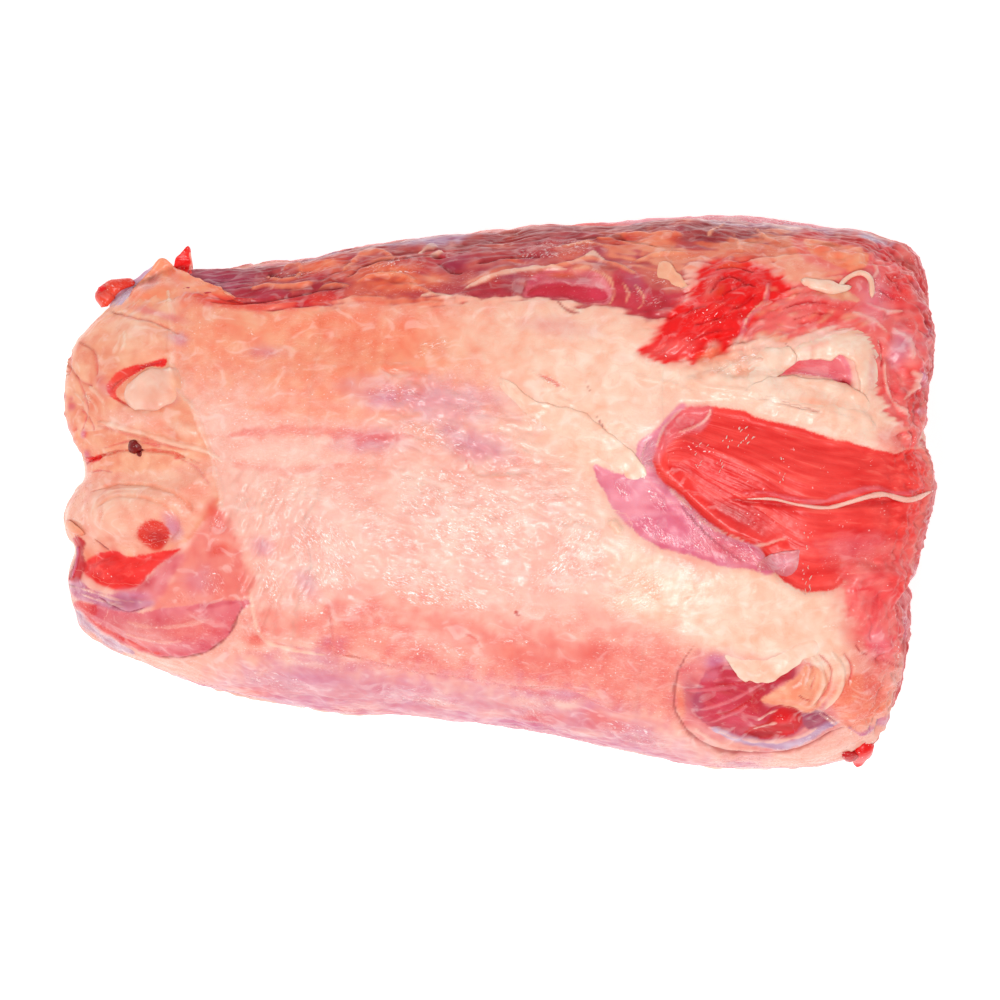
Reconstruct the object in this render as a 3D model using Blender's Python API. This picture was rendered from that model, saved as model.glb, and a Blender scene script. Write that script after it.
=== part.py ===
"""A raw veal shank, trimmed and lying on its side, as one closed solid.

Metres, +Z up. X runs along the shank from the knuckle end to the cut end, and Y runs across it.
The origin is under the middle of the shank, on the surface it lies on.
"""

import math

import bmesh
import bpy
import numpy as np
from mathutils import Vector, noise

NAME = "veal_shank"
MM = 0.001

# Heights over the resting surface, in millimetres
GIRTH_HEIGHT = 38.0
CREST_HEIGHTS = ((0.0, 55.0), (0.1, 66.0), (0.22, 74.0), (0.4, 81.0), (0.7, 88.0), (0.9, 87.0), (1.0, 83.0))
KNUCKLE_LIFT, KNUCKLE_LIFT_SHARE = 7.0, 0.14
SAG_BELOW_GIRTH = 1.16  # a share over 1 presses the underside flat
FLAT_UNDER = 0.4

# How square the body is: across its sections, and at the rim of each end
SECTION_SQUARENESS = 2.5
KNUCKLE_SQUARENESS = 5.0
CUT_SQUARENESS = 10.0

# Rings of faces cut into the starting block, then the triangles kept in the solid
CUTS_LONG, CUTS_WIDE, CUTS_TALL = 118, 68, 44
TRIANGLES = 11000

# The widest outline seen from above, in millimetres, in four runs between its corners
KNUCKLE_FRONT = (-122.5, -53.0)
KNUCKLE_BACK = (-113.0, 63.0)
CUT_FRONT = (108.5, -79.5)
CUT_BACK = (118.5, 73.0)
BACK_RUN = [(-91, 63.5), (-68, 62.7), (-46, 64.2), (-21, 68.7), (6, 71.3), (33, 72.8), (55, 74.4), (77, 73.2),
            (97, 72)]
FRONT_RUN = [(-98, -52.5), (-81.5, -55.6), (-65, -58.6), (-43, -61.9), (-21, -62.7), (0, -65.2), (17, -68.7),
             (39, -74), (61, -77.6), (84, -78.7)]
KNUCKLE_RUN = [(-119.5, -29), (-114.5, -17.5), (-117.5, -8), (-112.5, 3.5), (-117, 17), (-116.5, 27),
               (-114, 44)]
CUT_RUN = [(108, -64), (109.5, -51), (110.5, -40), (111.5, -29.5), (113, -17), (114.5, -7.5), (116.5, 0.7),
           (116.5, 11.6), (115.5, 25), (117, 43), (117.5, 58)]

# Places where the fat cover is cut away and sunk muscle shows: outline, depth, swell of the muscle inside
MUSCLE_WINDOW = [(58, 24), (45, 12), (47, 1), (58, -9), (75, -22), (92, -29), (108, -27), (124, -12),
                 (126, 6), (105, 15), (84, 19), (70, 22)]
SIDE_WINDOW = [(52, -55), (52, -67), (66, -76), (88, -74), (97, -64), (84, -54), (66, -50)]
BACK_WINDOW = [(6, 57), (14, 62), (30, 61), (35, 55), (28, 52), (14, 53)]
TORN_PATCH = [(44, 38), (58, 57), (74, 60), (92, 50), (88, 40), (64, 33)]
WINDOWS = (
    (MUSCLE_WINDOW, 3.6, 3.0),
    (SIDE_WINDOW, 2.6, 1.2),
    (BACK_WINDOW, 2.2, 0.6),
    (TORN_PATCH, 1.8, 0.6),
)
WINDOW_EDGE = 3.0
SWELL_REACH = 16.0

# Edges of the covering fat and membrane: route, rise on the left of the route, how far the rise reaches
STEPS = (
    ("back edge of the fat", [(6, 54), (-22, 55), (-46, 52), (-72, 51), (-84, 55), (-93, 61)], 1.8, 14.0),
    ("knuckle edge of the membrane", [(-89, 52), (-86, 40), (-82, 26), (-79, 8), (-75, -5), (-80, -15)],
     1.4, 12.0),
    ("front edge of the fat", [(-68, -47), (-40, -49), (-13, -54), (17, -57), (42, -64), (58, -70)],
     1.2, 12.0),
)
STEP_WIDTH = 3.0

# Rolls and grooves of the surface: route, half width, height (grooves are negative)
SEAMS = (
    ("loose fold of fat", [(-2, 33), (8, 25), (20, 17), (32, 12), (42, 3)], 6.0, 2.4),
    ("fat roll over the window", [(36, 33), (58, 29), (82, 24), (104, 21), (116, 14)], 7.0, 2.4),
    ("flap beside the hollow", [(78, 38), (92, 42), (104, 41), (105, 28)], 4.5, 2.6),
    ("sinew in the muscle", [(72, -4), (96, -3), (108, 2), (118, 0)], 2.4, 1.0),
    ("crease across the knuckle", [(-122, 3), (-106, 4), (-92, 9), (-74, 6)], 3.0, -2.4),
    ("crease over the lower lobe", [(-116, -20), (-100, -18), (-84, -20), (-70, -30)], 3.0, -1.8),
    ("edge of the lower lobe", [(-108, -36), (-92, -43), (-76, -42), (-68, -30)], 2.6, -1.6),
)

# Lumps and hollows: centre, half length, half width, turn in degrees, height (hollows are negative)
LUMPS = (
    ("swollen joint", (-97, -5), 17, 12, 0, 4.0),
    ("upper joint", (-103, 34), 13, 18, 20, 2.6),
    ("lower lobe", (-88, -34), 22, 10, -14, 2.6),
    ("tendon hollow", (-99, 28), 9, 6, 15, -5.0),
    ("tendon stub", (-94, 27), 6.0, 5.0, 0, 5.0),
    ("hollow under the flap", (92, 33), 9, 5.5, -8, -5.0),
    ("belly of the shank", (20, -12), 70, 34, -12, 3.0),
    ("back hollow", (-40, 42), 50, 9, 3, -1.2),
)

# Grooves between the muscles on the sides: side (-1 front, 1 back), route along and up, half width, depth
SIDE_GROOVES = (
    (1, [(-104, 34), (-60, 40), (-10, 33), (50, 42), (106, 34)], 7.0, 2.6),
    (1, [(-30, 58), (10, 55), (60, 62), (106, 60)], 5.0, 1.4),
    (-1, [(-108, 28), (-60, 22), (0, 29), (60, 24), (104, 30)], 7.0, 2.2),
    (-1, [(-20, 44), (30, 41), (70, 47)], 5.0, 1.2),
)

# Muscles on the cut end: across, up, radius, swell
CUT_MUSCLES = ((-44, 46, 24, 3.2), (-8, 56, 25, 4.0), (34, 58, 26, 3.6), (54, 34, 20, 2.6), (8, 24, 22, 2.8),
               (-36, 22, 18, 2.2))
CUT_SEAM_DEPTH = 1.6

# Shreds left by the knife: root, radii, turn in degrees, each narrowing to a tip
SHREDS = (
    ("shred_on_back", (-84.5, 57.5, 47.0), (4.0, 8.5, 6.5), -4),
    ("shred_at_front", (94.5, -68.5, 27.0), (7.0, 10.5, 7.0), 206),
)
SHRED_TIP = 0.3
SHRED_ROUGHNESS, SHRED_GRAIN = 0.3, 4.0

UNEVEN_SIZE, UNEVEN_HEIGHT = 26.0, 1.1
LUMPY_SIZE, LUMPY_HEIGHT = 11.0, 0.45


def clear_scene():
    for obj in list(bpy.data.objects):
        bpy.data.objects.remove(obj, do_unlink=True)


def ramp(value, low, high):
    """0 below low, 1 above high, and a smooth rise between."""
    t = np.clip((value - low) / (high - low), 0, 1)
    return t * t * (3 - 2 * t)


def smooth_line(points, steps=16, closed=False):
    """A dense line that bends smoothly through the points (a Catmull-Rom curve)."""
    p = np.array(points, float)
    ends = (p[-1], p[0], p[1]) if closed else (2 * p[0] - p[1], 2 * p[-1] - p[-2], None)
    p = np.vstack([ends[0], p, ends[1]] + ([ends[2]] if closed else []))
    t = np.linspace(0, 1, steps, endpoint=False)[:, None]
    spans = []
    for a, b, c, d in zip(p, p[1:], p[2:], p[3:]):
        bend = (2 * a - 5 * b + 4 * c - d) * t**2 + (3 * b - a - 3 * c + d) * t**3
        spans.append(0.5 * (2 * b + (c - a) * t + bend))
    return np.vstack(spans + ([] if closed else [p[-2]]))


def along(line, share):
    """The points at these shares of a line's length."""
    reach = np.concatenate([[0], np.cumsum(np.linalg.norm(np.diff(line, axis=0), axis=1))])
    at = share * reach[-1]
    return np.stack([np.interp(at, reach, line[:, i]) for i in (0, 1)], axis=-1)


def seen_from_above(u, v):
    """Where the share u of the length and v of the width fall, as a patch held by its four outline runs."""
    corners = np.array([KNUCKLE_FRONT, CUT_FRONT, KNUCKLE_BACK, CUT_BACK], float)
    front = along(smooth_line([KNUCKLE_FRONT, *FRONT_RUN, CUT_FRONT]), u)
    back = along(smooth_line([KNUCKLE_BACK, *BACK_RUN, CUT_BACK]), u)
    knuckle = along(smooth_line([KNUCKLE_FRONT, *KNUCKLE_RUN, KNUCKLE_BACK]), v)
    cut = along(smooth_line([CUT_FRONT, *CUT_RUN, CUT_BACK]), v)
    u, v = u[:, None], v[:, None]
    shares = np.hstack([(1 - u) * (1 - v), u * (1 - v), (1 - u) * v, u * v])
    return (1 - v) * front + v * back + (1 - u) * knuckle + u * cut - shares @ corners


def starting_block():
    """A two-unit cube with rings of faces cut along each axis."""
    bm = bmesh.new()
    bmesh.ops.create_cube(bm, size=2)
    for axis, cuts in enumerate((CUTS_LONG, CUTS_WIDE, CUTS_TALL)):
        edges = [e for e in bm.edges if abs(e.verts[0].co[axis] - e.verts[1].co[axis]) > 1.9]
        bmesh.ops.subdivide_edges(bm, edges=edges, cuts=cuts, use_grid_fill=True)
    return bm


def body_points(block):
    """The block's points moved to the plain form of the shank, in millimetres."""
    a, b, c = block.T
    rho = np.maximum(np.abs(b), np.abs(c))
    size = (np.abs(b) ** SECTION_SQUARENESS + np.abs(c) ** SECTION_SQUARENESS) ** (1 / SECTION_SQUARENESS)
    inward = rho / np.maximum(size, 1e-9)
    squareness = np.where(a < 0, KNUCKLE_SQUARENESS, CUT_SQUARENESS)
    rim = (np.abs(a) ** squareness + rho**squareness) ** (1 / squareness)
    length, across, up = a / rim, b * inward / rim, c * inward / rim
    u, v = (length + 1) / 2, (across + 1) / 2
    crest_line = smooth_line(CREST_HEIGHTS)
    crest = np.interp(u, crest_line[:, 0], crest_line[:, 1])
    over, under = np.clip(up, 0, 1), np.clip(-up, 0, 1)
    lift = KNUCKLE_LIFT * (1 - ramp(u, 0, KNUCKLE_LIFT_SHARE))
    height = GIRTH_HEIGHT + (crest - GIRTH_HEIGHT) * over + (lift - GIRTH_HEIGHT * SAG_BELOW_GIRTH) * under
    return np.column_stack([seen_from_above(u, v), height])


def distance_to(line, xy):
    """Distance from each point to a line of short straight spans."""
    nearest = np.full(len(xy), np.inf)
    for start, end in zip(line, line[1:]):
        span = end - start
        share = np.clip((xy - start) @ span / (span @ span + 1e-12), 0, 1)
        nearest = np.minimum(nearest, np.linalg.norm(xy - start - share[:, None] * span, axis=1))
    return nearest


def inside(outline, xy):
    """True for the points inside a closed outline, counted by the edges crossed on the way out."""
    x, y = xy.T
    crossed = np.zeros(len(xy), bool)
    for (x0, y0), (x1, y1) in zip(outline, np.roll(outline, -1, axis=0)):
        between = (y0 > y) != (y1 > y)
        crossed ^= between & (x < (x1 - x0) * (y - y0) / (y1 - y0 + 1e-12) + x0)
    return crossed


def window_relief(xy):
    """Muscle sunk behind a cut edge of fat, swelling again towards the middle."""
    relief = np.zeros(len(xy))
    for points, depth, swell in WINDOWS:
        outline = smooth_line(points, 8, closed=True)
        edge = distance_to(np.vstack([outline, outline[:1]]), xy)
        deep = np.where(inside(outline, xy), edge, -edge)
        relief -= depth * ramp(deep, -WINDOW_EDGE / 2, WINDOW_EDGE / 2)
        relief += swell * ramp(deep, WINDOW_EDGE, SWELL_REACH)
    return relief


def seam_relief(xy):
    """Rolls, folds and creases that run along a route."""
    relief = np.zeros(len(xy))
    for _, route, half_width, height in SEAMS:
        relief += height * (1 - ramp(distance_to(smooth_line(route, 8), xy), 0, half_width))
    return relief


def lump_relief(xy):
    """Rounded lumps and hollows."""
    relief = np.zeros(len(xy))
    for _, centre, half_length, half_width, turn, height in LUMPS:
        c, s = math.cos(math.radians(turn)), math.sin(math.radians(turn))
        x, y = (xy - np.array(centre, float)).T
        out = np.hypot((c * x + s * y) / half_length, (c * y - s * x) / half_width)
        relief += height * (1 - ramp(out, 0.25, 1.1))
    return relief


def left_of(line, xy):
    """Distance from each point to a line, above zero on the left of its route."""
    nearest, signed = np.full(len(xy), np.inf), np.zeros(len(xy))
    for start, end in zip(line, line[1:]):
        span = end - start
        share = np.clip((xy - start) @ span / (span @ span + 1e-12), 0, 1)
        out = xy - start - share[:, None] * span
        far = np.linalg.norm(out, axis=1)
        side = np.sign(span[0] * out[:, 1] - span[1] * out[:, 0])
        signed = np.where(far < nearest, side * far, signed)
        nearest = np.minimum(nearest, far)
    return signed


def step_relief(xy):
    """The raised edges of fat and membrane, each fading out behind its edge."""
    relief = np.zeros(len(xy))
    for _, route, rise, reach in STEPS:
        left = left_of(smooth_line(route, 8), xy)
        relief += rise * ramp(left, -STEP_WIDTH / 2, STEP_WIDTH / 2) * (1 - ramp(left, reach / 3, reach))
    return relief


def groove_relief(points, normals):
    """Long grooves between the muscles of each side."""
    relief = np.zeros(len(points))
    for side, route, half_width, depth in SIDE_GROOVES:
        out = distance_to(smooth_line(route, 8), points[:, [0, 2]])
        relief -= ramp(side * normals[:, 1], 0.45, 0.8) * depth * (1 - ramp(out, 0, half_width))
    return relief


def cut_face_relief(points):
    """Muscles that swell out of the cut end, with seams sunk between them."""
    nearest, second = np.full(len(points), np.inf), np.full(len(points), np.inf)
    swell = np.zeros(len(points))
    for across, up, radius, height in CUT_MUSCLES:
        out = np.hypot(points[:, 1] - across, points[:, 2] - up) / radius
        swell = np.where(out < nearest, height, swell)
        second = np.where(out < nearest, nearest, np.minimum(second, out))
        nearest = np.minimum(nearest, out)
    lobe = swell * (1 - ramp(nearest, 0.2, 1.3))
    return lobe - CUT_SEAM_DEPTH * (1 - ramp(second - nearest, 0, 0.35))


def unevenness(points):
    """Gentle irregular swelling of flesh all over."""
    wide = [noise.noise(Vector(p) / UNEVEN_SIZE) for p in points]
    fine = [noise.noise(Vector(p) / LUMPY_SIZE) for p in points]
    return UNEVEN_HEIGHT * np.array(wide) + LUMPY_HEIGHT * np.array(fine)


def sculpted(points, normals):
    """The plain form with its relief, in millimetres, flat where it lies."""
    xy = points[:, :2]
    upward = ramp(normals[:, 2], 0.05, 0.45)
    on_cut_end = ramp(normals[:, 0], 0.75, 0.95)
    relief = upward * (window_relief(xy) + seam_relief(xy) + lump_relief(xy) + step_relief(xy))
    relief += groove_relief(points, normals) + on_cut_end * cut_face_relief(points) + unevenness(points)
    points = points + normals * relief[:, None]
    points[:, 2] = np.where(points[:, 2] < FLAT_UNDER, 0, points[:, 2])
    return points


def make_body():
    """The body of the shank, from the block."""
    bm = starting_block()
    mesh = bpy.data.meshes.new(NAME)
    bm.to_mesh(mesh)
    bm.free()
    points = np.empty(len(mesh.vertices) * 3)
    mesh.vertices.foreach_get("co", points)
    points = body_points(points.reshape(-1, 3))
    mesh.vertices.foreach_set("co", points.ravel())
    mesh.update()
    normals = np.empty(points.size)
    mesh.vertices.foreach_get("normal", normals)
    mesh.vertices.foreach_set("co", (sculpted(points, normals.reshape(-1, 3)) * MM).ravel())
    mesh.update()
    body = bpy.data.objects.new(NAME, mesh)
    return body


def make_shred(name, root, radii, turn):
    """A small torn piece of flesh that stands out of the surface and narrows to its tip."""
    bm = bmesh.new()
    bmesh.ops.create_uvsphere(bm, u_segments=18, v_segments=12, radius=1)
    for vert in bm.verts:
        narrow = 1 - (1 - SHRED_TIP) * (vert.co.y + 1) / 2
        vert.co = Vector(radii) * vert.co * Vector((narrow, 1, narrow)) * MM
        vert.co *= 1 + SHRED_ROUGHNESS * noise.noise(vert.co / (SHRED_GRAIN * MM))
    mesh = bpy.data.meshes.new(name)
    bm.to_mesh(mesh)
    bm.free()
    shred = bpy.data.objects.new(name, mesh)
    shred.location = Vector(root) * MM
    shred.rotation_euler.z = math.radians(turn)
    return shred


def apply_modifiers(obj):
    """Replaces the mesh by what its modifiers make of it."""
    bpy.context.view_layer.update()
    made = bpy.data.meshes.new_from_object(obj.evaluated_get(bpy.context.evaluated_depsgraph_get()))
    obj.modifiers.clear()
    obj.data = made


def fuse(body, shreds):
    """Joins the shreds to the body with one union, then removes them."""
    union = body.modifiers.new("shreds", "BOOLEAN")
    union.operation = "UNION"
    union.solver = "MANIFOLD"
    union.operand_type = "COLLECTION"
    union.collection = shreds
    apply_modifiers(body)
    for shred in list(shreds.objects):
        bpy.data.objects.remove(shred, do_unlink=True)
    bpy.data.collections.remove(shreds)


def thin_out(body):
    """Fewer triangles, kept where the relief is, and a true flat underside centred on the origin."""
    decimate = body.modifiers.new("fewer faces", "DECIMATE")
    decimate.use_collapse_triangulate = True
    triangles = sum(len(p.vertices) - 2 for p in body.data.polygons)
    decimate.ratio = TRIANGLES / triangles
    apply_modifiers(body)
    points = np.empty(len(body.data.vertices) * 3)
    body.data.vertices.foreach_get("co", points)
    points = points.reshape(-1, 3)
    middle = (points.min(0) + points.max(0)) / 2
    points[:, :2] -= middle[:2]
    points[:, 2] = np.where(points[:, 2] < FLAT_UNDER * MM, 0, points[:, 2])
    body.data.vertices.foreach_set("co", points.ravel())
    body.data.update()


def finish(body):
    """Smooth shading and the colour of raw veal."""
    body.data.shade_smooth()
    body.data.set_sharp_from_angle(angle=math.radians(50))
    material = bpy.data.materials.new("raw_veal")
    material.use_nodes = True
    shader = material.node_tree.nodes["Principled BSDF"]
    shader.inputs["Base Color"].default_value = (0.86, 0.44, 0.34, 1)
    shader.inputs["Roughness"].default_value = 0.3
    shader.inputs["Metallic"].default_value = 0
    body.data.materials.clear()
    body.data.materials.append(material)


def main():
    clear_scene()
    shank = bpy.data.collections.new("shank")
    bpy.context.scene.collection.children.link(shank)
    shreds = bpy.data.collections.new("shreds")
    bpy.context.scene.collection.children.link(shreds)
    body = make_body()
    shank.objects.link(body)
    for shred in SHREDS:
        shreds.objects.link(make_shred(*shred))
    fuse(body, shreds)
    thin_out(body)
    finish(body)


main()
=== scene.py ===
"""The looks of a raw veal shank: flesh, fat cover, membranes, bare muscle and the loose pieces on it.

Everything stands in the frame of the shank's solid, in metres with +Z up. Sizes here are in millimetres.
Places on the shown side are pixels of the 1000 by 1000 photograph, which looks straight down.

What is painted or built shares these words: share is how much a tissue covers of what lies under it, lift
how high or, below zero, how deep it lies, ragged how far its edge strays, and turn the direction in which it
or its grain runs, in degrees from +X. Routes and closed outlines are given by the points that they pass.
"""

import logging
import math
from dataclasses import dataclass, field
from enum import Enum
from itertools import cycle, product
from typing import Any, Sequence

import bmesh
import bpy
import numpy as np
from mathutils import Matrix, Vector
from mathutils.bvhtree import BVHTree


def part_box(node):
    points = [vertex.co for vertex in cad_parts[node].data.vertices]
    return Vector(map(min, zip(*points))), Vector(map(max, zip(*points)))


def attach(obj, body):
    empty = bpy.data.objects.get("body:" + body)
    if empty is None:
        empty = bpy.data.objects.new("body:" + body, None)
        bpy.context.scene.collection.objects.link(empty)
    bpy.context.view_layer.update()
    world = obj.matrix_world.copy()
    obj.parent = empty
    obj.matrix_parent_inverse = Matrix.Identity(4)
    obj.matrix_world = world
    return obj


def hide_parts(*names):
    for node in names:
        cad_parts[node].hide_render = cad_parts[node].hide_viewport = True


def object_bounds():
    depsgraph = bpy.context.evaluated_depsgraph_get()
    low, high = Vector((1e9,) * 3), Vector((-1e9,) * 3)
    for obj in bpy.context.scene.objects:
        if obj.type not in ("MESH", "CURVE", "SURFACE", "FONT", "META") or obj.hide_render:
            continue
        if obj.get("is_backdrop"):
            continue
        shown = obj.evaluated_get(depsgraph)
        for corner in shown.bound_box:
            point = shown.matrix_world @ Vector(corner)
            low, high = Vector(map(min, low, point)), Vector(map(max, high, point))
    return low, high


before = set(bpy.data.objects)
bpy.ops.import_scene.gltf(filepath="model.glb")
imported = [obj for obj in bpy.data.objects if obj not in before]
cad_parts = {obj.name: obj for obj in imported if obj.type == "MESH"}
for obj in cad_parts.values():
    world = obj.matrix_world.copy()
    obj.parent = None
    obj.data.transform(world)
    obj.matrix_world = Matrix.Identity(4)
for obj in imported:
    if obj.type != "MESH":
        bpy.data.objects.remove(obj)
SOLID_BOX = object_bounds()

Array = np.ndarray
Points = Sequence[tuple[float, float]]
Colour = tuple[int, int, int]
Piece = bpy.types.Object
Mesh = bpy.types.Mesh
Material = bpy.types.Material
Node = bpy.types.Node
Socket = bpy.types.NodeSocket

MM = 0.001
NODE = "veal_shank"

CAMERA_HEIGHT = 2400.0
CAMERA_AT = (0.55, -2.05)
GIRTH_HEIGHT = 38.0
PX_PER_MM = 3.65
PICTURE_PX = 1000.0
SENSOR_MM = 36.0

LIGHT_GAIN = 1.16
LIGHT_HAZE = 0.036

CLOUDS = ((17, 0.5), (6, 0.5), (2.6, 0.4))
CRISP_REACH = 3.0
FAR_OUT = 6.0
FAR_AWAY = 1.0e5
SKIN_GAP = 0.45
SKIN_TURN = 86.0
SKIN_LENGTH = 275.0
SKIN_ENDS = (0.12, 0.09)
SKIN_RIMS = (0.45, 0.55)
# About how long one degree round the flesh is, and half its height and length.
TURN_MM = 1.1
HALF_HEIGHT = 45
HALF_LENGTH = 119

log = logging.getLogger("veal_shank")


def ramp(value: Array, low: float, high: float) -> Array:
    """0 below low, 1 above high, and a smooth rise between."""
    t = np.clip((value - low) / (high - low), 0, 1)
    return t * t * (3 - 2 * t)


def smooth_line(points: Points, steps: int = 8, closed: bool = False) -> Array:
    """Bends a line smoothly through its points.

    Args:
        points: The points it passes, in order.
        steps: The short spans between two points.
        closed: Whether it returns to its first point.

    Returns:
        The points of the dense line.
    """
    p = np.array(points, float)
    before, after = (p[-1:], p[:2]) if closed else (2 * p[:1] - p[1:2], 2 * p[-1:] - p[-2:-1])
    p = np.vstack([before, p, after])
    t = np.linspace(0, 1, steps, endpoint=False)[:, None]
    spans = []
    for a, b, c, d in zip(p, p[1:], p[2:], p[3:]):
        bend = (2 * a - 5 * b + 4 * c - d) * t**2 + (3 * b - a - 3 * c + d) * t**3
        spans.append(0.5 * (2 * b + (c - a) * t + bend))
    return np.vstack([*spans, p[1:2] if closed else p[-2:-1]])


def length_of(line: Array) -> float:
    """The length of a line."""
    return np.linalg.norm(np.diff(line, axis=0), axis=1).sum()


def along(line: Array, share: Array) -> Array:
    """The points at these shares of a line's length."""
    reach = np.concatenate([[0], np.cumsum(np.linalg.norm(np.diff(line, axis=0), axis=1))])
    return np.stack([np.interp(share * reach[-1], reach, column) for column in line.T], axis=-1)


def distance(line: Array, at: Array, reach: float) -> tuple[Array, Array]:
    """Measures how far places are from a line, up to a reach.

    Args:
        line: The points of the line.
        at: The places.
        reach: Distances over this are given as this.

    Returns:
        Each place's distance, and the share of the line at which it is nearest.
    """
    far, share = np.full(len(at), float(reach)), np.zeros(len(at))
    near = np.all((at > line.min(0) - reach) & (at < line.max(0) + reach), axis=1)
    if not near.any():
        return far, share
    close, best, place = at[near], far[near], share[near]
    for i, (start, end) in enumerate(zip(line, line[1:])):
        span = end - start
        t = np.clip((close - start) @ span / (span @ span + 1e-9), 0, 1)
        d = np.hypot(*(close - start - t[:, None] * span).T)
        place = np.where(d < best, (i + t) / (len(line) - 1), place)
        best = np.minimum(best, d)
    far[near], share[near] = best, place
    return far, share


def inward(line: Array, at: Array, reach: float) -> Array:
    """Measures how far inside a closed line places are, below zero outside.

    Args:
        line: The points of the line, with the first again as the last.
        at: The places.
        reach: Distances over this are given as this.

    Returns:
        How far inside each place is.
    """
    far, _ = distance(line, at, reach)
    within = np.zeros(len(at), bool)
    near = np.all((at > line.min(0)) & (at < line.max(0)), axis=1)
    x, y = at[near].T
    crossed = np.zeros(len(x), bool)
    for (x0, y0), (x1, y1) in zip(line, line[1:]):
        between = (y0 > y) != (y1 > y)
        crossed ^= between & (x < (x1 - x0) * (y - y0) / (y1 - y0 + 1e-9) + x0)
    within[near] = crossed
    return np.where(within, far, -far)


def noise(at: Array, size: float | Sequence[float], seed: int = 0) -> Array:
    """Smooth even noise, from about -1 to 1.

    Args:
        at: The places, in two or three columns.
        size: How large its swellings are, in all or for each column.
        seed: Which of the many such patterns.

    Returns:
        The noise at each place.
    """
    cell, part = np.divmod(np.asarray(at) / size, 1)
    rise = part**3 * (part * (part * 6 - 15) + 10)
    total = np.zeros(len(at))
    for corner in product((0, 1), repeat=cell.shape[1]):
        key = (cell + corner).astype(np.int64)
        mixed = np.full(len(at), seed * 374761393 + 668265263, np.int64)
        for column, prime in zip(key.T, (73856093, 19349663, 83492791)):
            mixed = (mixed ^ (column * prime)) * 1274126177
            mixed ^= mixed >> 15
        slopes = np.stack([(mixed >> (10 * k) & 1023) / 511.5 - 1 for k in range(cell.shape[1])], axis=1)
        weight = np.prod(np.where(corner, rise, 1 - rise), axis=1)
        total += weight * np.sum(slopes * (part - corner), axis=1)
    return total * 1.6


def layered_noise(at: Array, size: float | Sequence[float], seed: int = 0, layers: int = 3) -> Array:
    """Noise with finer and fainter noise on it."""
    return sum(noise(at, np.asarray(size) / 2**k, seed + k) / 2**k for k in range(layers))


def pigment(colour: Colour) -> Array:
    """The colour that a surface needs to look like these 0 to 255 screen values in the studio's light."""
    c = np.array(colour, float) / 255
    shown = np.where(c <= 0.04045, c / 12.92, ((c + 0.055) / 1.055) ** 2.4)
    return np.clip((shown - LIGHT_HAZE) / LIGHT_GAIN, 0.004, 1.0)


def on_picture(points: Array) -> Array:
    """Where the camera sees points, in millimetres on the plane of the girth."""
    nearer = (CAMERA_HEIGHT - GIRTH_HEIGHT) / (CAMERA_HEIGHT - points[:, 2:3])
    return np.array(CAMERA_AT) + (points[:, :2] - CAMERA_AT) * nearer


def px(*numbers: float) -> Array:
    """Pixels of the photograph, each across and down, as millimetres on the plane of the girth."""
    off = (np.reshape(numbers, (-1, 2)) - PICTURE_PX / 2) / PX_PER_MM
    return np.array(CAMERA_AT) + off * (1, -1)


def turned(flat: Array, degrees: float) -> Array:
    """Flat places measured along and across a direction, which is given in degrees from +X."""
    c, s = math.cos(math.radians(degrees)), math.sin(math.radians(degrees))
    return flat @ np.array([[c, -s], [s, c]])


@dataclass(frozen=True)
class Look:
    """How a tissue looks: two screen colours that it drifts between, and shares of its textures.

    Fibre is muscle fibres, skin the streaks of a silverskin, wet wrinkles that glint, and lobes mottled fat.
    """

    light: Colour
    dark: Colour
    fibre: float = 0.0
    skin: float = 0.0
    # Wet, and a little skin, also paint glints and shade in the creases into the colour.
    wet: float = 0.2
    lobes: float = 0.0

    @property
    def marks(self) -> Array:
        """The shares of its textures."""
        return np.array([self.fibre, self.skin, self.wet, self.lobes])


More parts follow.
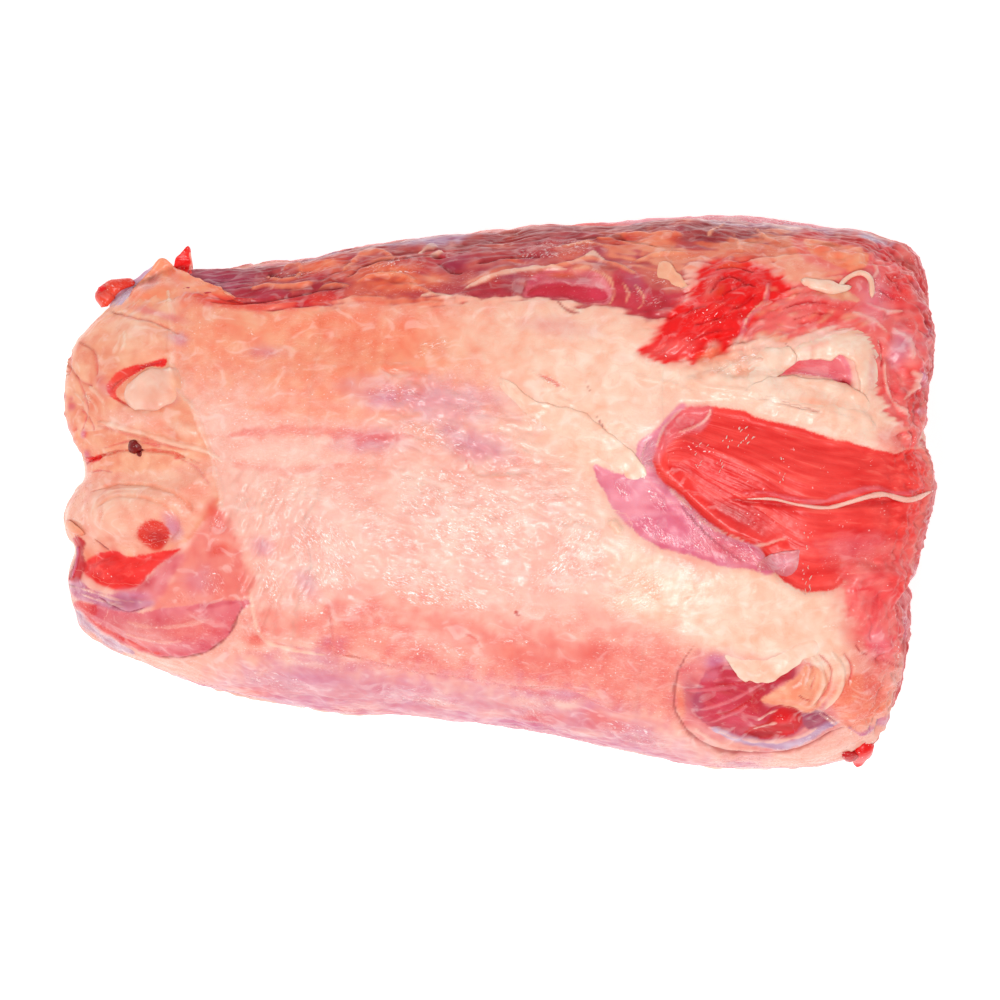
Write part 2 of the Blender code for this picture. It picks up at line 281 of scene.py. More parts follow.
class Tissue(Enum):
    """The kinds of tissue that show on a trimmed shank; some are also laid as painted shade, sheen and
    glints.
    """

    FAT = Look((255, 221, 200), (253, 194, 168), wet=0.15, lobes=1.0)
    PEACH = Look((255, 174, 138), (251, 130, 98), wet=0.3, lobes=0.6)
    CAPSULE = Look((253, 190, 158), (242, 142, 114), wet=0.25, lobes=0.8)
    MEMBRANE = Look((254, 202, 186), (250, 176, 160), skin=0.25, wet=0.4, lobes=0.2)
    # Pale wrinkled membrane; it is also laid as fine pale lines and flecks that are painted glints.
    WRINKLED = Look((254, 210, 194), (250, 184, 172), skin=0.3, wet=0.8)
    SALMON = Look((246, 138, 124), (236, 98, 96), skin=0.3, wet=0.4)
    ROSE = Look((242, 142, 148), (222, 92, 108), skin=0.5, wet=0.2)
    LILAC = Look((226, 154, 180), (206, 116, 154), skin=0.6, wet=0.3)
    # Pearly silverskin; along the rims it is also laid as painted sheen, the pale reflection of wet membrane
    # at a grazing angle.
    PEARL = Look((226, 202, 222), (178, 128, 164), skin=0.8, wet=0.4)
    SHEATH = Look((248, 166, 180), (230, 118, 142), skin=0.9, wet=0.8)
    MUSCLE = Look((255, 92, 86), (232, 34, 48), fibre=1.0, wet=0.3)
    PINK_MUSCLE = Look((253, 132, 126), (240, 62, 72), fibre=0.8, wet=0.5)
    MAGENTA = Look((224, 78, 98), (188, 30, 60), fibre=0.4, skin=0.2, wet=0.2)
    PURPLE = Look((202, 78, 94), (160, 36, 60), fibre=0.2, skin=0.2, wet=0.2)
    MAUVE = Look((194, 106, 124), (166, 70, 94), skin=0.3, wet=0.2)
    ORANGE = Look((254, 140, 98), (236, 84, 60), wet=0.4, lobes=0.6)
    MAROON = Look((178, 50, 66), (138, 26, 44), fibre=0.3, wet=0.2)
    RUSSET = Look((226, 122, 108), (180, 62, 80), fibre=0.15, skin=0.15, wet=0.4, lobes=0.5)
    TORN = Look((252, 48, 50), (236, 18, 30), fibre=0.8, wet=0.5)
    CRIMSON = Look((228, 46, 62), (176, 16, 36), fibre=0.6, wet=0.5)
    CUT_MUSCLE = Look((240, 92, 96), (206, 46, 60), fibre=0.9, wet=0.7)
    BLOOD = Look((246, 92, 74), (222, 52, 50), wet=0.4)
    TENDON = Look((255, 214, 194), (246, 182, 160), wet=0.0, lobes=0.5)
    CLOT = Look((158, 16, 26), (96, 8, 16), wet=0.3)
    SMUDGE = Look((240, 150, 150), (214, 112, 122), skin=0.3, wet=0.4)
    # Painted shade: dark lines laid, sunk a little, along creases and under the edges of folds and lobes.
    SEAM = Look((206, 108, 98), (168, 70, 76), wet=0.0)


class Side(Enum):
    """The six ways that the shank is looked at when it is painted."""

    TOP = "top"
    FRONT = "front"
    BACK = "back"
    CUT = "cut end"
    KNUCKLE = "knuckle end"
    UNDER = "underside"


@dataclass
class View:
    """One side of a surface, seen flat: where each point is seen, and how far it belongs to the side."""

    flat: Array
    weight: Array
    stray: Array = field(init=False)

    def __post_init__(self) -> None:
        """Works out the noise once for every item on the side."""
        self.stray = layered_noise(self.flat, 4.5, 11, 3)


@dataclass
class Coat:
    """What covers a surface, point by point: colours, textures, grain and relief.

    Of its two layers of colour the upper one shows wherever deep is above zero, so that an edge between two
    tissues stays crisp between the points.

    Attributes:
        grain: How far along, across and into the grain each point lies.
        tone, over: The colours of the lower and the upper layer.
        deep: How far inside the upper layer's nearest edge each point lies, in widths of that edge.
        marks: The shares of fibre, skin, wet and lobes.
        relief: How far the surface stands out.
        calm: How much of the textures is kept, less where the grain turns.
        drift, lobe, streak: Even noises: clouds, the lobes of fat and long streaks.
    """

    places: Array
    grain: Array = field(init=False)
    tone: Array = field(init=False)
    over: Array = field(init=False)
    deep: Array = field(init=False)
    marks: Array = field(init=False)
    relief: Array = field(init=False)
    calm: Array = field(init=False)
    drift: Array = field(init=False)
    lobe: Array = field(init=False)
    streak: Array = field(init=False)

    def __post_init__(self) -> None:
        """Starts with one bare layer and no relief."""
        count = len(self.places)
        self.grain = self.places.copy()
        self.tone, self.over = np.ones((count, 3)), np.ones((count, 3))
        self.deep = np.full(count, -FAR_OUT)
        self.marks = np.zeros((count, 4))
        self.relief, self.calm = np.zeros(count), np.ones(count)
        cloudy = sum(strong * noise(self.places, size, 1 + k) for k, (size, strong) in enumerate(CLOUDS))
        self.drift = np.clip(0.5 + 0.8 * cloudy, 0, 1)[:, None]
        self.lobe = (2 * np.abs(layered_noise(self.places, 7, 4, 3)))[:, None]
        self.streak = noise(self.places, (26, 2.6, 2.6), 6)[:, None]

    def colour(self, look: Look, at: Array) -> Array:
        """Works out the colour of a tissue, which drifts between its two colours.

        Args:
            look: How the tissue looks.
            at: The points that are asked for.

        Returns:
            The colour at each of them.
        """
        streaky = self.drift[at] + look.lobes * 0.35 * (self.lobe[at] - 0.35)
        streaky = np.clip(streaky + 0.55 * look.skin * self.streak[at], 0, 1)
        if look.fibre:
            threads = 0.5 + 0.9 * layered_noise(self.grain[at], (40, 3.2, 3.2), 5, 2)[:, None]
            streaky = np.clip(streaky + look.fibre * (0.7 * threads + 0.15 - 0.7 * streaky), 0, 1)
        return streaky * pigment(look.light) + (1 - streaky) * pigment(look.dark)

    def lay(self, tissue: Tissue, share: Array) -> None:
        """Lays a tissue softly over both layers.

        Args:
            tissue: What is laid.
            share: How much of what lies under it is covered, at each point.
        """
        look, at = tissue.value, share > 0.003
        share, colour = share[at, None], self.colour(look, at)
        self.tone[at] += share * (colour - self.tone[at])
        self.over[at] += share * (colour - self.over[at])
        self.marks[at] += share * (look.marks - self.marks[at])

    def lay_crisp(self, tissue: Tissue, share: Array, inside: Array, edge: float) -> None:
        """Lays a tissue with a crisp edge.

        Args:
            tissue: What is laid.
            share: How much of what lies under it is covered, at each point.
            inside: How far inside the edge each point lies.
            edge: The width of the edge.
        """
        look, near = tissue.value, inside > -CRISP_REACH
        share, inside = share[near, None], inside[near]
        tone, over = self.tone[near], self.over[near]
        seen = tone + ramp(self.deep[near], -0.5, 0.5)[:, None] * (over - tone)
        nearing = ramp(inside, -CRISP_REACH, -CRISP_REACH / 2)[:, None]
        self.tone[near] = seen
        self.over[near] = seen + share * nearing * (self.colour(look, near) - seen)
        self.deep[near] = np.clip(inside / edge, -FAR_OUT, FAR_OUT)
        cover = share * ramp(inside, -edge / 2, edge / 2)[:, None]
        self.marks[near] += cover * (look.marks - self.marks[near])

    def turn_grain(self, inside: Array, flat: Array, degrees: float) -> None:
        """Turns the grain inside an edge, and calms the textures along that edge.

        Args:
            inside: How far inside the edge each point lies.
            flat: Where each point is seen.
            degrees: The new direction, from +X.
        """
        where = inside > 0
        self.grain[where, :2] = turned(flat[where], degrees)
        self.calm *= ramp(np.abs(inside), 1.0, 2.2)


class Item:
    """Something that is painted on a coat."""

    def paint(self, coat: Coat, view: View) -> None:
        """Paints the item, where the side shows.

        Args:
            coat: The coat that it is painted on.
            view: The side that it belongs to.
        """
        raise NotImplementedError


@dataclass(frozen=True)
class Patch(Item):
    """A stretch of tissue inside an outline.

    Attributes:
        edge: How softly it ends.
        sunk: How deep it lies behind its edge.
        swell, reach: How far it swells again in the middle, and how far in from its edge the swell is full.
        lip, lip_width: How high and wide its surroundings roll up along its edge.
        feather: How far its edge strays in streaks along its grain.
    """

    tissue: Tissue
    outline: Points
    edge: float = 0.8
    ragged: float = 0.8
    share: float = 1.0
    sunk: float = 0.0
    swell: float = 0.0
    reach: float = 10.0
    lip: float = 0.0
    lip_width: float = 3.0
    turn: float | None = None
    feather: float = 0.0

    def paint(self, coat: Coat, view: View) -> None:
        """Lays the patch and shapes its edge."""
        flat, weight = view.flat, view.weight
        line = smooth_line(self.outline, 7, closed=True)
        margin = max(self.edge + self.ragged, 2 * self.lip_width, self.reach, CRISP_REACH) + 2
        deep = inward(line, flat, margin)
        strayed = deep + self.ragged * view.stray
        if self.feather:
            strayed = strayed + self.feather * noise(turned(flat, self.turn or 0), (11, 1.3), 23)
        cover = ramp(strayed, -self.edge / 2, self.edge / 2) * weight
        if self.turn is not None:
            coat.turn_grain(np.where(weight > 0.4, strayed, -margin), flat, self.turn)
        if self.edge < CRISP_REACH / 2:
            coat.lay_crisp(self.tissue, self.share * weight, strayed, self.edge)
        else:
            coat.lay(self.tissue, cover * self.share)
        coat.relief -= self.sunk * weight * ramp(strayed, -1.6 - self.edge / 4, 1.6 + self.edge / 4)
        coat.relief += self.swell * weight * ramp(deep, 1, self.reach)
        off_lip = np.abs(strayed + self.lip_width / 2)
        coat.relief += self.lip * weight * (1 - ramp(off_lip, 0, self.lip_width))


@dataclass(frozen=True)
class Streak(Item):
    """A line of tissue: a fold, a sinew, a crease or a run of blood.

    Attributes:
        half: Half its width at its widest.
        soft: How much of its half width is soft edge.
        step, fade: How high the surface left of the route stands over the right, and how far that reaches.
    """

    tissue: Tissue
    route: Points
    half: float = 1.0
    share: float = 1.0
    lift: float = 0.0
    soft: float = 0.8
    ragged: float = 0.4
    step: float = 0.0
    fade: float = 10.0

    def paint(self, coat: Coat, view: View) -> None:
        """Lays the streak, thinner towards its ends."""
        flat, weight = view.flat, view.weight
        line = smooth_line(self.route, 7)
        reach = max(self.half + self.ragged + CRISP_REACH, self.fade if self.step else 0) + 1
        off, place = distance(line, flat, reach)
        taper = np.clip(6 * place, 0, 1) * np.clip(6 * (1 - place), 0, 1)
        strayed = off + self.ragged * view.stray
        half = self.half * (0.15 + 0.85 * taper)
        cover = (1 - ramp(strayed / half, 1 - self.soft, 1)) * np.minimum(1, 4 * taper) * weight
        if self.soft < 0.5:
            edge = max(0.5, 2 * self.soft * self.half)
            coat.lay_crisp(self.tissue, self.share * weight, half - strayed, edge)
        else:
            coat.lay(self.tissue, cover * self.share)
        coat.relief += self.lift * cover
        if self.step:
            index = np.minimum((place * (len(line) - 1)).astype(int), len(line) - 2)
            span, out = line[index + 1] - line[index], flat - line[index]
            left = np.sign(span[:, 0] * out[:, 1] - span[:, 1] * out[:, 0]) * strayed
            rise = ramp(left, -0.6, 0.6) * (1 - ramp(left, self.fade / 4, self.fade))
            coat.relief += self.step * rise * np.minimum(1, 3 * taper) * weight


@dataclass(frozen=True)
class Wash(Item):
    """A soft blotch of tissue that shows through, or a lump or hollow."""

    tissue: Tissue
    centre: tuple[float, float]
    radii: tuple[float, float]
    turn: float = 0.0
    share: float = 0.6
    lift: float = 0.0

    def paint(self, coat: Coat, view: View) -> None:
        """Lays the wash, fainter towards its rim."""
        c, s = math.cos(math.radians(self.turn)), math.sin(math.radians(self.turn))
        x, y = (view.flat - np.array(self.centre, float)).T
        out = np.hypot((c * x + s * y) / self.radii[0], (c * y - s * x) / self.radii[1])
        fading = (1 - ramp(out + 0.2 * view.stray, 0.1, 1.15)) * view.weight
        coat.lay(self.tissue, fading * self.share)
        coat.relief += self.lift * (1 - ramp(out, 0.1, 1.15)) * view.weight


@dataclass(frozen=True)
class FibreFan(Item):
    """Turns a muscle's grain so that its fibres, spread at its widest, run between two routes."""

    upper: Points
    lower: Points
    spread: float = 40.0

    def paint(self, coat: Coat, view: View) -> None:
        """Turns the grain between the routes."""
        x, y = view.flat.T
        high, low = (smooth_line(route, 6) for route in (self.upper, self.lower))
        top, bottom = np.interp(x, high[:, 0], high[:, 1]), np.interp(x, low[:, 0], low[:, 1])
        share = (y - bottom) / np.maximum(top - bottom, 1)
        within = (share > -0.1) & (share < 1.1) & (view.weight > 0.3)
        within &= (x > high[0, 0] - 4) & (x < high[-1, 0] + 4)
        coat.grain[within, 1] = (share * self.spread)[within]


@dataclass(frozen=True)
class CutMuscles(Item):
    """The ends of the muscles that the cut laid bare, with pale seams sunk between them.

    Attributes:
        muscles: For each, how far across and how high its middle lies, its radius and its swell.
        seam: How deep the seams lie.
    """

    muscles: Sequence[tuple[float, float, float, float]]
    seam: float = 1.6

    def paint(self, coat: Coat, view: View) -> None:
        """Lays cut muscle over the whole side, with fat along the seams and sheaths over it."""
        flat, weight = view.flat, view.weight
        bent = flat + 2.4 * np.column_stack([noise(flat, 9, 51), noise(flat, 9, 52)])
        nearest, second = np.full(len(flat), np.inf), np.full(len(flat), np.inf)
        swell, shade = np.zeros(len(flat)), np.zeros(len(flat))
        for number, (across, up, radius, height) in enumerate(self.muscles):
            out = np.hypot(*(bent - (across, up)).T) / radius
            closer = out < nearest
            swell, shade = np.where(closer, height, swell), np.where(closer, number % 3 / 2, shade)
            second = np.where(closer, nearest, np.minimum(second, out))
            nearest = np.minimum(nearest, out)
        seams = 1 - ramp(second - nearest, 0, 0.35)
        coat.lay(Tissue.CUT_MUSCLE, weight)
        coat.lay(Tissue.CRIMSON, weight * 0.55 * shade)
        coat.lay(Tissue.SHEATH, weight * 0.6 * ramp(layered_noise(flat, 14, 61), 0.25, 0.6))
        coat.lay(Tissue.FAT, weight * (1 - ramp(second - nearest, 0.02, 0.13)))
        coat.relief += weight * (swell * (1 - ramp(nearest, 0.2, 1.3)) - self.seam * seams)
        coat.relief += weight * 0.5 * layered_noise(flat, 5, 71)


@dataclass(frozen=True)
class Rumple(Item):
    """A stretch rumpled into ridges of a length, width and height, full from its edge inwards."""

    outline: Points
    size: tuple[float, float]
    height: float
    turn: float = 0.0
    edge: float = 3.0

    def paint(self, coat: Coat, view: View) -> None:
        """Rumples the coat inside the outline."""
        inside = inward(smooth_line(self.outline, 7, closed=True), view.flat, self.edge)
        ridges = 0.5 - np.abs(layered_noise(turned(view.flat, self.turn), self.size, 33, 3))
        coat.relief += self.height * ramp(inside, 0, self.edge) * view.weight * ridges


@dataclass(frozen=True)
class Glisten(Item):
    """Fine glinting wrinkles, as wet as given at its middle; the wet also paints glints and crease shade."""

    centre: tuple[float, float]
    radii: tuple[float, float]
    turn: float = 0.0
    wet: float = 0.9

    def paint(self, coat: Coat, view: View) -> None:
        """Turns the grain and wets the coat."""
        out = np.hypot(*(turned(view.flat - np.array(self.centre, float), self.turn) / self.radii).T)
        inside = (1 - out) * min(self.radii)
        coat.turn_grain(np.where(view.weight > 0.4, inside, -FAR_OUT), view.flat, self.turn)
        share = (1 - ramp(out + 0.3 * view.stray, 0.4, 1.0)) * view.weight
        coat.marks[:, 2] += share * (self.wet - coat.marks[:, 2])


@dataclass(frozen=True)
class Form:
    """The plain form of the shank: a block made round across its sections and at its ends.

    Attributes:
        crest: How high the top lies at shares of the length.
        lift: How far the underside rises at the knuckle end, and over which share of the length.
        sag: The share of the girth's height that the underside sags; over 1 presses it flat where it lies.
        corners: The outline's corners from above: knuckle front, cut front, knuckle back, cut back.
        back, front, knuckle, cut: Its four runs between them.
    """

    crest: Points = ((0.0, 55.0), (0.1, 66.0), (0.22, 74.0), (0.4, 81.0), (0.7, 88.0), (0.9, 87.0),
                     (1.0, 83.0))
    lift: tuple[float, float] = (7.0, 0.14)
    sag: float = 1.16
    section_squareness: float = 2.5
    knuckle_squareness: float = 5.0
    cut_squareness: float = 10.0
    corners: Points = ((-122.5, -53.0), (108.5, -79.5), (-113.0, 63.0), (118.5, 73.0))
    back: Points = ((-91, 63.5), (-68, 62.7), (-46, 64.2), (-21, 68.7), (6, 71.3), (33, 72.8), (55, 74.4),
                    (77, 73.2), (97, 72))
    front: Points = ((-98, -52.5), (-81.5, -55.6), (-65, -58.6), (-43, -61.9), (-21, -62.7), (0, -65.2),
                     (17, -68.7), (39, -74), (61, -77.6), (84, -78.7))
    knuckle: Points = ((-119.5, -29), (-114.5, -17.5), (-117.5, -8), (-112.5, 3.5), (-117, 17), (-116.5, 27),
                       (-114, 44))
    cut: Points = ((108, -64), (109.5, -51), (110.5, -40), (111.5, -29.5), (113, -17), (114.5, -7.5),
                   (116.5, 0.7), (116.5, 11.6), (115.5, 25), (117, 43), (117.5, 58))

    def seen_from_above(self, u: Array, v: Array) -> Array:
        """Finds where points fall between the four runs, seen from above.

        Args:
            u: Their shares of the length, from the knuckle end.
            v: Their shares of the width, from the front.

        Returns:
            The places.
        """
        front_left, front_right, back_left, back_right = self.corners
        front = along(smooth_line([front_left, *self.front, front_right], 16), u)
        back = along(smooth_line([back_left, *self.back, back_right], 16), u)
        knuckle = along(smooth_line([front_left, *self.knuckle, back_left], 16), v)
        cut = along(smooth_line([front_right, *self.cut, back_right], 16), v)
        u, v = u[:, None], v[:, None]
        shares = np.hstack([(1 - u) * (1 - v), u * (1 - v), (1 - u) * v, u * v])
        twice = shares @ np.array(self.corners, float)
        return (1 - v) * front + v * back + (1 - u) * knuckle + u * cut - twice

    def shape(self, block: Array) -> Array:
        """Gives a two-unit block the form.

        Args:
            block: The points of the block.

        Returns:
            Where they come to lie.
        """
        a, b, c = block.T
        rho = np.maximum(np.abs(b), np.abs(c))
        square = self.section_squareness
        squeeze = rho / np.maximum((np.abs(b) ** square + np.abs(c) ** square) ** (1 / square), 1e-9)
        square = np.where(a < 0, self.knuckle_squareness, self.cut_squareness)
        rim = (np.abs(a) ** square + rho**square) ** (1 / square)
        length, across, up = a / rim, b * squeeze / rim, c * squeeze / rim
        u, v = (length + 1) / 2, (across + 1) / 2
        crest_line = smooth_line(self.crest, 16)
        crest = np.interp(u, crest_line[:, 0], crest_line[:, 1])
        over, under = np.clip(up, 0, 1), np.clip(-up, 0, 1)
        lift = self.lift[0] * (1 - ramp(u, 0, self.lift[1]))
        height = GIRTH_HEIGHT + (crest - GIRTH_HEIGHT) * over + (lift - GIRTH_HEIGHT * self.sag) * under
        return np.column_stack([self.seen_from_above(u, v), height])


def spot(x: float, y: float) -> tuple[float, float]:
    """One pixel of the photograph as millimetres on the plane of the girth."""
    return tuple(px(x, y)[0])


def washes(*rows: tuple[Any, ...]) -> list[Wash]:
    """Washes on the shown side, each from its tissue, the pixel of its middle, its radii and the rest."""
    return [Wash(tissue, spot(x, y), (long, wide), *rest) for tissue, x, y, long, wide, *rest in rows]


def glistens(*rows: tuple[float, ...]) -> list[Glisten]:
    """Glistening stretches of the shown side, each from the pixel of its middle, its radii and the rest."""
    return [Glisten(spot(x, y), (long, wide), *rest) for x, y, long, wide, *rest in rows]


def blotches(tissues: Sequence[Tissue], outline: Points, count: int, radii: tuple[float, float],
             turn: float = 0.0, share: float = 0.7, lift: float = 0.4) -> list[Item]:
    """Scatters soft blotches and lumps over a stretch.

    Args:
        tissues: What they are made of, one after another.
        outline: The closed outline within which they lie.
        count: How many there are.
        radii: Half the length and width of a middling one.
        turn: Their direction, in degrees from +X.
        share: How much they cover.
        lift: How high or deep they may lie.

    Returns:
        The blotches.
    """
    chance = np.random.default_rng(count)
    edge = smooth_line(outline, 4, closed=True)
    places = chance.uniform(edge.min(0), edge.max(0), (60 * count, 2))
    places = places[inward(edge, places, 1.0) > 0][:count]
    sizes, lifts = chance.uniform(0.6, 1.5, count), chance.uniform(-lift, lift, count)
    return [
        Wash(tissue, tuple(place), (radii[0] * size, radii[1] * size), turn + 40 * rise, share, rise)
        for tissue, place, size, rise in zip(cycle(tissues), places, sizes, lifts)]


def lines(tissue: Tissue, half: float, lift: float, *routes: Sequence[float]) -> list[Streak]:
    """Fine lines of a tissue, raised or sunk, each through the pixels of its route."""
    return [Streak(tissue, px(*route), half, 0.75, lift, 0.85, 0.35) for route in routes]


def fat_and_membranes() -> list[Item]:
    """The cover of the upper side: fat, with clear membranes over it and the muscles showing through.

    Returns:
        The items, lowest first.
    """
    t = Tissue
    upper_left = px(160, 290, 300, 296, 420, 300, 560, 312, 640, 325, 700, 380, 600, 400, 480, 380, 400, 398,
        300, 405, 240, 385, 180, 380)
    middle = px(540, 296, 640, 320, 800, 370, 940, 410, 940, 480, 690, 420, 650, 450, 600, 510, 550, 470,
        520, 400, 500, 350)
    lower_right = px(600, 500, 640, 545, 700, 580, 770, 570, 850, 605, 870, 640, 850, 700, 820, 680,
        760, 668, 700, 650, 650, 630, 600, 600, 560, 540)
    glistening = px(400, 480, 480, 470, 560, 480, 610, 520, 620, 590, 560, 600, 470, 600, 400, 590, 350, 610,
        290, 600, 270, 540, 300, 500, 380, 500)
    reddened = px(250, 620, 330, 615, 420, 620, 520, 630, 620, 640, 690, 660, 690, 735, 560, 700, 400, 682,
        330, 655, 260, 650)
    rim = px(215, 690, 330, 657, 350, 670, 400, 682, 500, 693, 560, 702, 620, 718, 690, 758, 770, 778,
        700, 795, 500, 755, 350, 735, 200, 715)
    return [
        Patch(t.PEACH, upper_left, 24, 6, 0.85),
        Patch(t.FAT, middle, 22, 5),
        Patch(t.FAT, lower_right, 9, 3),
        Patch(t.WRINKLED, glistening, 18, 6, 0.85),
        Patch(t.SALMON, reddened, 18, 6, 0.7),
        Wash(t.WRINKLED, spot(450, 652), (16, 6), -6, 0.6),
        # The lower rim is laid lilac: the membrane's tint, with painted sheen where the rim turns away.
        Patch(t.LILAC, rim, 12, 4, 0.6),
        Streak(t.LILAC, px(150, 690, 230, 704, 300, 716, 380, 722, 460, 728, 540, 742, 620, 760, 700, 778,
            780, 782), 4.0, 0.6, ragged=2.0),
        *blotches([t.MEMBRANE, t.SALMON, t.LILAC, t.WRINKLED], rim, 40, (8, 1.6), -5, 0.5, 0.3),
        *washes((t.LILAC, 440, 405, 24, 9, -4, 0.5), (t.LILAC, 375, 445, 13, 5, 0, 0.5),
            (t.LILAC, 480, 450, 14, 6, -20, 0.55), (t.LILAC, 390, 404, 6, 4, 0, 0.5),
            (t.LILAC, 265, 553, 3.5, 4.5, 70, 0.5), (t.LILAC, 310, 590, 4, 6, 30, 0.4),
            (t.LILAC, 560, 330, 14, 4, -8, 0.3), (t.SMUDGE, 268, 354, 7, 2.8, 0, 0.85),
            (t.SMUDGE, 364, 392, 8.5, 5, 8, 0.5)),
        Streak(t.SALMON, px(226, 442, 270, 436, 330, 437, 380, 442, 424, 441), 2.2, 0.5, ragged=1.2),
        Streak(t.SALMON, px(232, 470, 300, 476, 360, 468), 1.8, 0.3, ragged=1.2),
        Streak(t.PEACH, px(240, 410, 340, 418, 430, 420), 2.4, 0.4, ragged=1.4),
        *washes((t.BLOOD, 378, 612, 5, 3.4, 0, 0.3), (t.BLOOD, 520, 660, 8, 4, -20, 0.3),
            (t.BLOOD, 606, 662, 6, 3.6, -10, 0.35), (t.BLOOD, 340, 655, 6, 3, 0, 0.35),
            (t.FAT, 480, 334, 16, 8, 0, 0.6), (t.PEACH, 560, 338, 12, 6, 10, 0.3),
            (t.WRINKLED, 500, 548, 26, 16, 0, 0.5), (t.PEACH, 300, 322, 18, 5, 0, 0.5)),
        # Painted shade: dark lines under the fold's free edge and along a crease.
        *lines(t.SEAM, 0.5, -0.3, [602, 420, 612, 438, 626, 456, 640, 470, 652, 486], [560, 300, 572, 312,
            590, 316]),
        *lines(t.SALMON, 0.6, -0.3, [470, 464, 480, 480, 500, 484, 540, 478], [540, 378, 556, 384, 566, 392],
            [470, 640, 480, 646, 486, 656]),
        *lines(t.CRIMSON, 0.4, -0.2, [592, 384, 593, 391, 597, 398], [522, 616, 523, 620, 525, 622]),
        *lines(t.FAT, 0.7, 0.35, [252, 588, 262, 640, 288, 656, 330, 664], [614, 526, 622, 533, 630, 543],
            [530, 372, 548, 384, 560, 402, 580, 410], [500, 380, 520, 400, 546, 424], [640, 380, 676, 388,
            704, 400], [706, 392, 760, 398, 816, 412, 868, 428], [720, 398, 780, 410, 840, 424]),
        *glistens((268, 585, 15, 5, -66, 0.9), (248, 520, 10, 4, -74, 0.8), (438, 350, 9, 4, 20, 0.8),
            (400, 400, 12, 5, -10, 0.75), (440, 440, 16, 6, -16, 0.85), (540, 420, 8, 5, -40, 0.7),
            (560, 386, 12, 3, -24, 0.7), (470, 520, 24, 12, -24, 0.9), (330, 560, 14, 10, -50, 0.8),
            (440, 600, 20, 8, -22, 0.9), (570, 560, 14, 12, 40, 0.85), (640, 600, 12, 8, 30, 0.7),
            (500, 640, 20, 4, -10, 0.7), (280, 690, 16, 4, -12, 0.7), (420, 704, 20, 4, -6, 0.7),
            (640, 744, 16, 4, -16, 0.8)),
        Streak(t.SALMON, px(333, 613, 336, 636, 338, 659, 366, 666, 407, 677, 460, 685, 523, 693, 573, 697,
            606, 713, 640, 726), 0.9, 0.5, step=1.2, fade=12),
        Streak(t.MEMBRANE, px(240, 590, 262, 640, 330, 655), 1.2, 0.3, lift=0.5),
        Streak(t.FAT, px(474, 464, 480, 480, 500, 483, 540, 478), 0.9, 0.5, 0.5, step=-0.8, fade=6),
        Rumple(px(225, 470, 300, 470, 340, 520, 345, 600, 300, 660, 235, 640, 220, 560), (11, 3.0), 1.1, 66,
            8.0),
        Rumple(px(380, 350, 480, 380, 560, 440, 620, 520, 640, 600, 520, 620, 400, 600, 340, 620, 350, 500,
            370, 420), (8, 3.2), 0.9, -24, 8.0),
        Rumple(px(220, 660, 400, 690, 560, 712, 690, 745, 780, 790, 400, 780, 200, 720), (10, 3.0), 0.7, -38,
            5.0),
        *washes((t.FAT, 560, 560, 70, 34, -12, 0.0, 3.0), (t.FAT, 355, 346, 50, 9, 3, 0.0, -1.2)),
    ]


